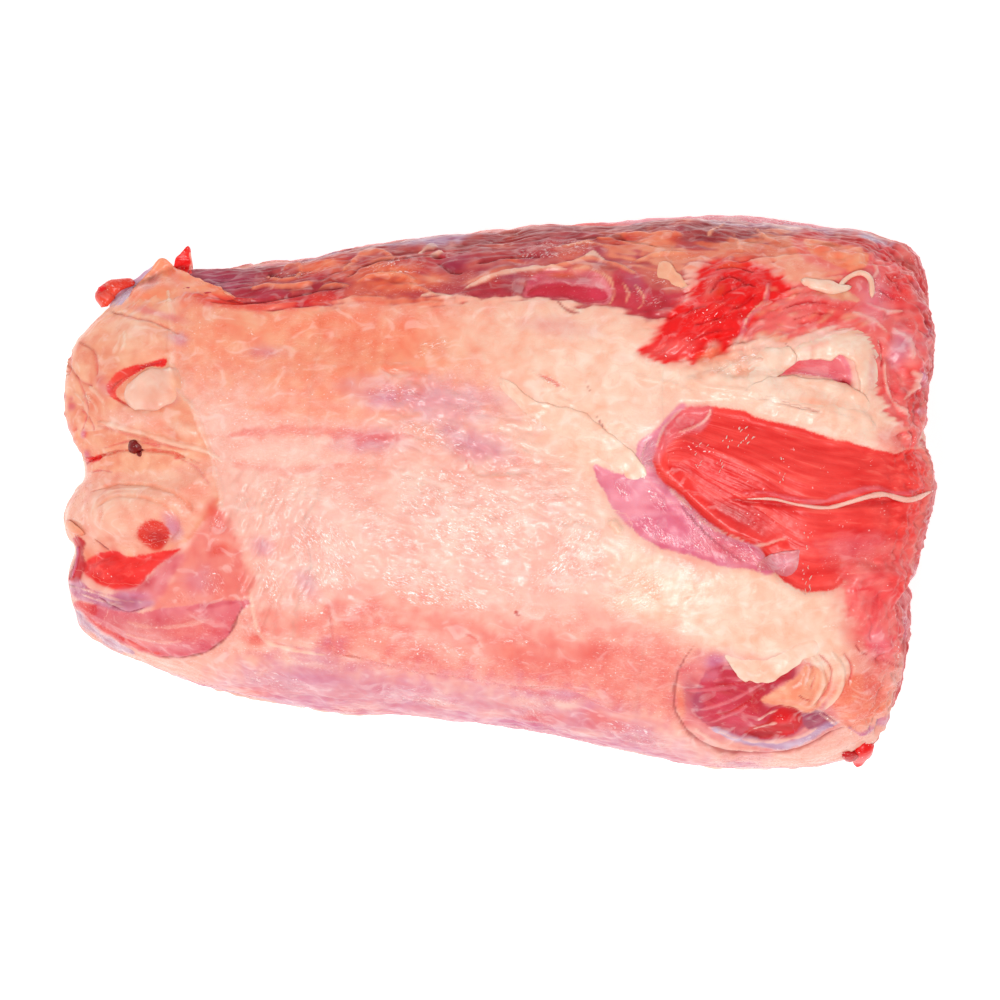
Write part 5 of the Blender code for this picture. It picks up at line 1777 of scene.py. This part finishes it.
    def build(self) -> tuple[Piece, Coat]:
        """Models the flesh with its relief, stretched to the solid's box.

        Returns:
            The piece and its coat.
        """
        flesh = self.block()
        self.hidden = UpperSkin.depth_within(points_of(flesh.data) * MM)
        coat, places = self.grow(flesh)
        self.start, self.span = places.min(0), np.ptp(places, axis=0)
        move_points(flesh.data, self.fitted(places))
        return flesh, coat

    def fitted(self, places: Array) -> Array:
        """Stretches places as the flesh is stretched to fill the solid's box."""
        low, high = solid_box()
        return low + (places - self.start) / self.span * (high - low)

    def sink_below(self, flesh: Piece) -> None:
        """Sinks the flesh a little where the upper skins cover it."""
        down = SKIN_GAP * ramp(self.hidden, *self.sinks)[:, None]
        move_points(flesh.data, points_of(flesh.data) - normals_of(flesh.data) * down)


@dataclass(frozen=True)
class UpperSkin:
    """A finer skin over the upper side of the flesh, which is seen from above.

    Attributes:
        start, end: The shares of the skins' length between which it lies.
        rows, columns: How many faces it has along and across.
        clear: How high it lies over the flesh.
        rim, seam: How deep it dips at the skins' outer rim and beside another skin, and over which width.
    """

    name: str
    start: float
    end: float
    rows: int
    columns: int = 430
    clear: float = 0.1
    rim: tuple[float, float] = (0.8, 3.5)
    seam: tuple[float, float] = (0.5, 2.0)

    @staticmethod
    def on_block(along_skin: Array, across: Array) -> Array:
        """Finds the points of the skins on a two-unit block.

        Args:
            along_skin: Their shares of the skins' length.
            across: Their turns, from -1 at the front rim to 1 at the back rim.

        Returns:
            The points.
        """
        knuckle, cut = SKIN_ENDS
        low, high = SKIN_RIMS
        a = np.clip((along_skin - knuckle) / (1 - knuckle - cut), 0, 1) * 2 - 1
        rho = 1 - (1 - low) * np.clip(1 - along_skin / knuckle, 0, 1)
        rho = rho - (1 - high) * np.clip(1 - (1 - along_skin) / cut, 0, 1)
        angle = across * math.radians(SKIN_TURN)
        sine, cosine = np.sin(angle), np.cos(angle)
        scale = rho / np.maximum(np.abs(sine), np.abs(cosine))
        return np.column_stack([a, sine * scale, cosine * scale])

    @staticmethod
    def depth_within(block: Array) -> Array:
        """Measures how far within the rim of the upper skins points lie.

        Args:
            block: The points, on a two-unit block.

        Returns:
            Their distances, in about millimetres.
        """
        a, b, c = block.T
        rho = np.maximum(np.abs(b), np.abs(c))
        rim = np.where(a < 0, *SKIN_RIMS)
        turn = np.degrees(np.arctan2(np.abs(b), c))
        from_end = (rho - rim) * HALF_HEIGHT + (1 - np.abs(a)) * HALF_LENGTH
        return np.minimum((SKIN_TURN - turn) * TURN_MM, from_end)

    def build(self, flesh: Flesh, finish: Material) -> Piece:
        """Models the skin as a grid, and gives it the flesh's form, relief and colours.

        Args:
            flesh: The flesh that it covers.
            finish: Its material.

        Returns:
            The piece.
        """
        clear_selection()
        bpy.ops.mesh.primitive_grid_add(x_subdivisions=self.rows, y_subdivisions=self.columns, size=2)
        skin = newest(self.name)
        x, y, _ = (points_of(skin.data) * MM).T
        share = (x + 1) / 2
        block = self.on_block(self.start + (self.end - self.start) * share, y)
        ends = np.full(len(share), FAR_OUT)
        if self.start > 0:
            ends = np.minimum(ends, share * (self.end - self.start) * SKIN_LENGTH)
        if self.end < 1:
            ends = np.minimum(ends, (1 - share) * (self.end - self.start) * SKIN_LENGTH)
        out = self.clear
        for (dip, width), within in ((self.rim, self.depth_within(block)), (self.seam, ends)):
            out = out - dip * (1 - ramp(within, 0, width))
        move_points(skin.data, block / MM)
        coat, places = flesh.grow(skin)
        move_points(skin.data, flesh.fitted(places))
        places = points_of(skin.data) + normals_of(skin.data) * out[:, None]
        move_points(skin.data, np.clip(places, *solid_box()))
        dress(skin, coat, finish)
        return skin


UPPER_SKINS = (
    UpperSkin("knuckle_skin", 0.0, 0.36, 190),
    UpperSkin("middle_skin", 0.34, 0.68, 176, clear=0.14),
    UpperSkin("cut_end_skin", 0.66, 1.0, 184),
)


class Ground:
    """The finished surface of the flesh, on which the loose pieces lie."""

    def __init__(self, flesh: Piece) -> None:
        """Reads the surface once."""
        self.tree = BVHTree.FromObject(flesh, bpy.context.evaluated_depsgraph_get())

    def under(self, flat: Array) -> tuple[Array, Array]:
        """Finds the surface where the camera sees it.

        Args:
            flat: Places on the plane of the girth.

        Returns:
            The points of the surface there, and the directions in which it faces.
        """
        eye = Vector((CAMERA_AT[0] * MM, CAMERA_AT[1] * MM, CAMERA_HEIGHT * MM))
        points, normals = [], []
        for x, y in flat:
            aim = Vector((x * MM, y * MM, GIRTH_HEIGHT * MM))
            hit, normal, _, _ = self.tree.ray_cast(eye, (aim - eye).normalized())
            if hit is None:
                near, normal, _, _ = self.tree.find_nearest(aim)
                hit, normal = Vector((aim.x, aim.y, near.z)), (normal + Vector((0, 0, 1))).normalized()
            points.append(hit)
            normals.append(normal)
        return np.array(points) / MM, np.array(normals)

    def keep_within(self, piece: Piece) -> None:
        """Presses in what stands out of the solid's box."""
        move_points(piece.data, np.clip(points_of(piece.data), *solid_box()))


def evened(rows: Array, times: int = 2) -> Array:
    """Smooths the rows of an array along it, and keeps its ends."""
    for _ in range(times):
        rows = np.vstack([rows[:1], (rows[:-2] + 2 * rows[1:-1] + rows[2:]) / 4, rows[-1:]])
    return rows


def unit(rows: Array) -> Array:
    """Scales each row to length 1."""
    return rows / np.maximum(np.linalg.norm(rows, axis=1, keepdims=True), 1e-9)


@dataclass(frozen=True)
class Strand:
    """A strand of tissue that lies on the flesh: a roll, a sinew or a shred.

    Attributes:
        half, lift: Half its width and the height of its middle line, each at its start, middle and end.
        high: Half its height, as a share of half its width.
        rough: How uneven it is, from 0 to 1.
        items: What is painted on it.
        sides, step: How many faces it has round about, and how long they are.
    """

    tissue: Tissue
    route: Points
    half: tuple[float, float, float]
    high: float = 0.7
    lift: tuple[float, float, float] = (0.0, 0.0, 0.0)
    rough: float = 0.25
    items: Sequence[Item] = ()
    turn: float = 0.0
    sides: int = 10
    step: float = 0.9

    def build(self, name: str, ground: Ground) -> Piece:
        """Models the strand on the flesh.

        Args:
            name: The piece's name.
            ground: The flesh that it lies on.

        Returns:
            The piece, without its finish.
        """
        line = smooth_line(self.route, 8)
        rings = int(np.clip(length_of(line) / self.step, 6, 160))
        clear_selection()
        bpy.ops.mesh.primitive_uv_sphere_add(segments=self.sides, ring_count=rings, radius=1)
        piece = newest(name)
        x, y, z = (points_of(piece.data) * MM).T
        share = np.arccos(np.clip(-z, -1, 1)) / math.pi
        turn = np.arctan2(y, x)
        stations = np.linspace(0, 1, rings + 1)
        middle, facing = ground.under(along(line, stations))
        middle, facing = evened(middle), unit(evened(facing, 6))
        ahead = unit(evened(np.gradient(middle, axis=0)))
        aside = unit(np.cross(ahead, facing))

        def at(rows: Array) -> Array:
            """The rows at each point's place along the strand."""
            return np.stack([np.interp(share, stations, column) for column in rows.T], axis=-1)

        lumps = 1 + self.rough * layered_noise(at(middle) + 40 * facing[0], 2.2 + 2 * max(self.half), 7, 3)
        taper = np.minimum(1, 3.2 * np.sqrt(share * (1 - share)))
        thick = np.interp(share, [0, 0.5, 1], self.half) * taper * lumps
        lift = np.interp(share, [0, 0.5, 1], self.lift)
        out = thick * np.where(np.sin(turn) > 0, self.high, 0.4 * self.high) * np.sin(turn) + lift
        places = at(middle) + at(aside) * (thick * np.cos(turn))[:, None] + at(facing) * out[:, None]
        move_points(piece.data, places)
        clear_selection()
        piece.select_set(True)
        bpy.ops.object.mode_set(mode="EDIT")
        bpy.ops.mesh.select_all(action="SELECT")
        bpy.ops.mesh.normals_make_consistent(inside=False)
        bpy.ops.object.mode_set(mode="OBJECT")
        return piece


@dataclass(frozen=True)
class Flap:
    """A thin flap of tissue, grown to the flesh along its root and loose along its free edge.

    Attributes:
        root, free: The points of its root and, in the same direction, of its free edge.
        thick, ripple: How thick it is, and how high it ripples.
        items: What is painted on it.
        step: How long its faces are.
        blend: How far from its root it takes on the colours of the flesh.
    """

    tissue: Tissue
    root: Points
    free: Points
    thick: float = 0.5
    lift: float = 1.0
    ragged: float = 0.5
    ripple: float = 0.3
    items: Sequence[Item] = ()
    turn: float = 0.0
    step: float = 1.0
    blend: float = 3.0

    def build(self, name: str, ground: Ground) -> Piece:
        """Models the flap on the flesh.

        Args:
            name: The piece's name.
            ground: The flesh that it lies on.

        Returns:
            The piece, without its finish.
        """
        root, free = smooth_line(self.root, 8), smooth_line(self.free, 8)
        length, stations = max(length_of(root), length_of(free)), np.linspace(0, 1, 9)
        width = np.linalg.norm(along(root, stations) - along(free, stations), axis=1).max()
        columns, rows = (int(np.clip(size / self.step, 4, 120)) for size in (length, width))
        clear_selection()
        bpy.ops.mesh.primitive_grid_add(x_subdivisions=columns, y_subdivisions=rows, size=2)
        piece = newest(name)
        grid = points_of(piece.data) * MM
        u, v = (grid[:, 0] + 1) / 2, (grid[:, 1] + 1) / 2
        flat = (1 - v)[:, None] * along(root, u) + v[:, None] * along(free, u)
        out = unit(along(free, u) - along(root, u))
        flat = flat + out * (self.ragged * v**2 * layered_noise(flat, 2.6, 13, 3))[:, None]
        middle, facing = ground.under(flat)
        ends = ramp(np.minimum(u, 1 - u), 0, 0.12)
        uneven = layered_noise(flat, 5, 17, 2) + 0.5 * noise(flat, 2.2, 19)
        height = (self.lift * v**1.5 + self.ripple * uneven * v) * ends
        height += -0.25 + 0.5 * ramp(v, 0, 0.6) * ends
        move_points(piece.data, middle + facing * height[:, None])
        clear_selection()
        piece.select_set(True)
        wall = piece.modifiers.new("wall", "SOLIDIFY")
        upward = np.sum(normals_of(piece.data) * facing) > 0
        wall.thickness, wall.offset = self.thick * MM, -1 if upward else 1
        round_off = piece.modifiers.new("round_off", "SUBSURF")
        round_off.levels = round_off.render_levels = 1
        for modifier in (wall, round_off):
            bpy.ops.object.modifier_apply(modifier=modifier.name)
        return piece


def coat_piece(piece: Piece, part: Strand | Flap, finish: Material) -> None:
    """Covers a loose piece with its tissue and what is painted on it.

    Args:
        piece: The piece.
        part: What it was built from.
        finish: The material that reads the coat.
    """
    coat = Coat(points_of(piece.data))
    view = View(on_picture(coat.places), np.ones(len(coat.places)))
    coat.turn_grain(np.full(len(coat.places), 9.0), view.flat, part.turn)
    share = view.weight
    if isinstance(part, Flap) and part.blend:
        coat.lay(BASES[Side.TOP], view.weight)
        for item in ITEMS[Side.TOP]():
            item.paint(coat, view)
        share = ramp(distance(smooth_line(part.root, 8), view.flat, part.blend)[0] / part.blend, 0, 1)
    coat.lay(part.tissue, share)
    for item in part.items:
        item.paint(coat, view)
    dress(piece, coat, finish)


def join(pieces: Sequence[Piece], name: str) -> Piece:
    """Makes several pieces one.

    Args:
        pieces: The pieces.
        name: The name of the whole.

    Returns:
        The whole.
    """
    clear_selection()
    for piece in pieces:
        piece.select_set(True)
    bpy.context.view_layer.objects.active = pieces[0]
    bpy.ops.object.join()
    pieces[0].name = pieces[0].data.name = name
    return pieces[0]


def shreds(tissue: Tissue, outline: Sequence[float], count: int, length: tuple[float, float], half: float,
           turn: float, spread: float) -> list[Strand]:
    """Scatters fine strands over a stretch.

    Args:
        tissue: What they are made of.
        outline: The closed outline in which they start, in pixels.
        count: How many there are.
        length: The shortest and longest.
        half: Half the width of a middling one.
        turn, spread: Their direction, and how far it strays, in degrees.

    Returns:
        The strands.
    """
    chance = np.random.default_rng(count + int(turn) % 360)
    edge = smooth_line(px(*outline), 4, closed=True)
    starts = chance.uniform(edge.min(0), edge.max(0), (60 * count, 2))
    strands = []
    for start in starts[inward(edge, starts, 1.0) > 0][:count]:
        first, bend = math.radians(turn + spread * chance.normal()), 0.4 * chance.normal()
        reach, size = chance.uniform(*length), half * chance.uniform(0.6, 1.4)
        ahead = [np.array((math.cos(angle), math.sin(angle))) * reach / 2 for angle in (first, first + bend)]
        route = [start, start + ahead[0], start + ahead[0] + ahead[1]]
        strands.append(Strand(tissue, route, (size * 0.8, size, size * 0.4), 0.8, (0.0, 0.15, 0.0), 0.3,
                              sides=5, step=reach / 6))
    return strands


@dataclass(frozen=True)
class LoosePieces:
    """The folds, flaps, sinews and shreds that lie on the flesh."""

    def parts(self) -> dict[str, list[Strand | Flap]]:
        """Lists what each loose piece is built from.

        Returns:
            The strands and flaps of each piece, by its name.
        """
        t = Tissue
        return {
            "tendon_stub": [Strand(t.TENDON, px(125, 400, 140, 394, 157, 389, 188, 380), (3.2, 6.2, 4.2),
                0.3, (0.0, 0.5, -1.8), 0.12, sides=32, step=0.5,
                items=washes((t.CAPSULE, 178, 386, 4, 6, 0, 0.9), (t.MEMBRANE, 146, 406, 6, 1.6, -6, 0.5)))],
            "loose_fat_fold": [Flap(t.FAT, px(488, 384, 506, 404, 524, 420, 552, 448, 580, 458, 606, 478,
                640, 492), px(494, 374, 516, 385, 534, 400, 556, 405, 582, 411, 612, 434, 640, 458,
                652, 484), 2.0, 0.5, 0.7, 0.4, items=washes((t.PEACH, 534, 412, 5, 1.6, -40, 0.3),
                (t.PEACH, 628, 474, 5, 2.0, -40, 0.3)))],
            "fat_tongue": [Flap(t.FAT, px(782, 350, 806, 338, 838, 326, 862, 324, 880, 338, 883, 366,
                880, 402), px(790, 366, 806, 358, 828, 360, 842, 353, 854, 364, 859, 380, 860, 400), 1.5,
                1.1, 0.7, 0.6, items=washes((t.PEACH, 852, 332, 7, 1.6, 0, 0.5),
                (t.ROSE, 872, 374, 7, 1.6, 86, 0.4), (t.SALMON, 818, 345, 6, 1.4, 20, 0.4)), blend=1.2)],
            "fat_lobe": [Flap(t.FAT, px(752, 346, 742, 364, 730, 388), px(792, 345, 795, 360, 774, 382), 1.4,
                0.9, 0.9, 0.8)],
            "fat_roll": [Flap(t.FAT, px(736, 404, 765, 408, 800, 412, 836, 416, 880, 420), px(744, 386,
                782, 377, 805, 379, 832, 382, 856, 390, 874, 406), 1.8, 1.0, 0.7, 0.6, items=[Wash(t.PEACH,
                spot(820, 404), (14, 1.6), -8, 0.3)])],
            "window_sinew": [Strand(t.MEMBRANE, px(745, 499, 773, 499, 800, 505, 828, 508, 849, 502,
                882, 494, 908, 500, 933, 490), (0.35, 0.6, 0.9), 0.8, (0.0, 0.1, 0.3), 0.3, sides=8)],
            "holed_strand": [
                Strand(t.FAT, px(836, 291, 846, 280, 860, 275, 870, 282, 872, 299), (0.7, 0.8, 0.9), 0.9,
                    (0.2, 1.0, 0.2), 0.2, sides=8),
                Strand(t.FAT, px(800, 280, 818, 286, 838, 290, 852, 287), (1.4, 1.9, 1.0), 0.7,
                    (0.1, 0.5, 0.3), 0.3, sides=10)],
            "back_shred": [Flap(t.TORN, px(170, 284, 181, 286, 194, 280), px(173, 268, 188, 249, 193, 263),
                0.8, 0.8, 0.3, 0.5, step=0.6, blend=0.0, items=[Streak(t.MEMBRANE, px(190, 252, 192, 262,
                190, 270), 0.6, 0.8), Wash(t.CRIMSON, spot(178, 276), (3, 2), 40, 0.8)])],
            "peach_peak": [Flap(t.PEACH, px(118, 310, 145, 306, 175, 308, 215, 305, 262, 302), px(126, 299,
                144, 283, 163, 263, 178, 272, 232, 298), 1.2, 1.2, 0.3,
                items=washes((t.BLOOD, 215, 299, 12, 2, -8, 0.9), (t.MAUVE, 152, 281, 4, 2, 40, 0.6),
                (t.BLOOD, 176, 278, 2.6, 5, 30, 0.5)))],
            "grey_membrane": [Flap(t.PEARL, px(112, 312, 128, 304, 142, 294, 160, 276), px(108, 306,
                122, 294, 138, 280, 160, 266), 0.5, 1.0, 0.5, turn=44, blend=0.0, items=[Glisten(spot(132,
                290), (9, 3), 44)])],
            "knuckle_nub": [
                Strand(t.BLOOD, px(103, 309, 108, 297, 120, 288, 137, 283), (2.6, 3.2, 1.6), 0.8,
                    (0.6, 1.2, 0.6), 0.35, sides=14),
                Strand(t.TORN, px(104, 303, 107, 295, 113, 290), (1.4, 1.6, 1.0), 0.8, (1.8, 2.6, 1.8), 0.35,
                    sides=10)],
            "knuckle_lip": [Strand(t.CAPSULE, px(66, 522, 75, 527, 86, 534), (1.0, 1.4, 0.9), 0.6,
                (0.4, 0.8, 0.3), 0.3, sides=10)],
            "blood_clot": [
                Strand(t.CLOT, px(128, 446, 135, 447, 144, 449), (1.4, 1.9, 1.3), 0.7, rough=0.6, sides=12),
                Strand(t.CLOT, px(133, 441, 137, 444), (0.7, 0.9, 0.6), 0.8, rough=0.5, sides=8),
                Strand(t.CLOT, px(138, 453, 142, 455), (0.6, 0.8, 0.5), 0.8, rough=0.5, sides=8)],
            "front_tag": [
                Strand(t.TORN, px(866, 742, 860, 753, 856, 766), (2.0, 3.2, 1.0), 0.7, (0.0, 0.8, 0.6), 0.4,
                    sides=14),
                Strand(t.CRIMSON, px(842, 752, 850, 754, 860, 752), (1.0, 1.8, 1.4), 0.7, (0.2, 0.6, 0.6),
                    0.4, sides=10)],
            "torn_flap": [Flap(t.SMUDGE, px(750, 572, 770, 582, 799, 584), px(758, 560, 778, 552, 803, 549),
                0.4, 0.4, 0.5, turn=30, items=[Wash(t.SHEATH, spot(782, 562), (5, 3), 20, 0.6)])],
            "fat_dab": [Flap(t.CAPSULE, px(652, 280, 660, 288, 674, 292, 692, 290), px(657, 262, 670, 264,
                678, 274, 690, 287), 1.2, 0.6, 1.0, 0.8, step=0.7, blend=1.0)],
            "overhanging_fat": [Flap(t.FAT, px(712, 644, 742, 650, 770, 650, 794, 638, 822, 630),
                px(728, 662, 740, 678, 764, 683, 782, 675, 800, 662, 824, 650), 1.4, 0.8, 0.5, 0.4,
                blend=4.0)],
            # Painted highlights: pale flecks on the wet muscle that stand for its glints.
            "window_glint_flecks": [
                *shreds(t.WRINKLED, [737, 430, 752, 432, 751, 450, 738, 450], 14, (0.7, 1.6), 0.13, 60, 8),
                *shreds(t.WRINKLED, [716, 446, 732, 440, 732, 470, 718, 474], 10, (0.7, 1.8), 0.13, 66,
                    10),
                *shreds(t.WRINKLED, [692, 450, 706, 445, 704, 468, 692, 470], 8, (0.7, 1.8), 0.12, 50, 10),
                *shreds(t.WRINKLED, [779, 452, 785, 452, 785, 482, 779, 482], 8, (0.5, 1.2), 0.14, 80, 12),
                *shreds(t.WRINKLED, [803, 532, 810, 532, 810, 592, 803, 592], 22, (0.5, 1.6), 0.13, 84,
                    14)],
        }

    def build(self, ground: Ground, finish: Material) -> None:
        """Models every loose piece on the flesh and lets it ride on the shank's body.

        Args:
            ground: The flesh that they lie on.
            finish: Their material.
        """
        for name, parts in self.parts().items():
            made = []
            for number, part in enumerate(parts):
                piece = part.build(f"{name}_{number}", ground)
                ground.keep_within(piece)
                coat_piece(piece, part, finish)
                made.append(piece)
            hand_over(join(made, name) if len(made) > 1 else made[0])


@dataclass(frozen=True)
class Studio:
    """The plain pale floor, the soft light and the camera, in metres.

    Attributes:
        floor: The side of the floor.
        lens: The camera's focal length, in millimetres.
        sky: The strength of the even light.
        key_at, key_size, key_power: The key light's place, side and power in watts.
    """

    floor: float = 8.0
    lens: float = 310.4
    sky: float = 0.66
    key_at: tuple[float, float, float] = (-0.08, -0.2, 1.05)
    key_size: float = 0.16
    key_power: float = 6.4

    def lay_floor(self) -> None:
        """Lays a plain pale floor."""
        clear_selection()
        bpy.ops.mesh.primitive_plane_add(size=self.floor)
        floor = bpy.context.object
        floor.name = "studio_floor"
        r = Recipe("pale_floor")
        place = r.node("ShaderNodeTexCoord").outputs["Object"]
        cloud = r.noise(place, (0.6, 0.6))
        colour = r.mix(cloud, (0.9, 0.9, 0.9, 1), (0.93, 0.93, 0.93, 1))
        surface = r.node("ShaderNodeBsdfPrincipled", {}, {
            "Base Color": colour, "Roughness": 0.9, "Specular IOR Level": 0.1,
            "Emission Color": (1, 1, 1, 1), "Emission Strength": 0.6})
        r.node("ShaderNodeOutputMaterial", {}, {"Surface": surface.outputs[0]})
        floor.data.materials.append(r.material)
        floor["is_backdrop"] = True

    def light(self) -> None:
        """Sets the even light and the key light."""
        world = bpy.data.worlds.new("soft_sky")
        world.use_nodes = True
        sky = world.node_tree.nodes["Background"]
        sky.inputs["Color"].default_value = (1, 1, 1, 1)
        sky.inputs["Strength"].default_value = self.sky
        bpy.context.scene.world = world
        aim = (Vector((0, 0, 0.05)) - Vector(self.key_at)).to_track_quat("-Z", "Y").to_euler()
        bpy.ops.object.light_add(type="AREA", location=self.key_at, rotation=aim)
        lamp = bpy.context.object
        lamp.name = "key_light"
        lamp.data.shape, lamp.data.size, lamp.data.energy = "SQUARE", self.key_size, self.key_power

    def place_camera(self) -> None:
        """Looks straight down, as the photograph does."""
        at = (CAMERA_AT[0] * MM, CAMERA_AT[1] * MM, CAMERA_HEIGHT * MM)
        bpy.ops.object.camera_add(location=at, rotation=(0, 0, 0))
        camera = bpy.context.object
        camera.name = "picture_camera"
        camera.data.lens, camera.data.sensor_width = self.lens, SENSOR_MM
        camera.data.clip_end = 20
        scene = bpy.context.scene
        scene.camera = camera
        scene.view_settings.view_transform = "Standard"


def hand_over(piece: Piece) -> None:
    """Lets a piece ride on the shank's body, and logs how many faces it has."""
    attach(piece, "root")
    log.info("%s: %d faces", piece.name, len(piece.data.polygons))


def main() -> None:
    """Builds the shank and the studio round it."""
    logging.basicConfig(level=logging.INFO, format="%(message)s")
    finish = FleshFinish().make("raw_flesh")
    shank = Flesh()
    flesh, coat = shank.build()
    dress(flesh, coat, finish)
    hand_over(flesh)
    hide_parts(NODE)
    ground = Ground(flesh)
    for skin in UPPER_SKINS:
        hand_over(skin.build(shank, finish))
    shank.sink_below(flesh)
    LoosePieces().build(ground, finish)
    studio = Studio()
    studio.lay_floor()
    studio.light()
    studio.place_camera()
    boxes = {"solid": SOLID_BOX, "shown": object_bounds()}
    {name: [list(corner) for corner in box] for name, box in boxes.items()}


if __name__ == "__main__":
    main()
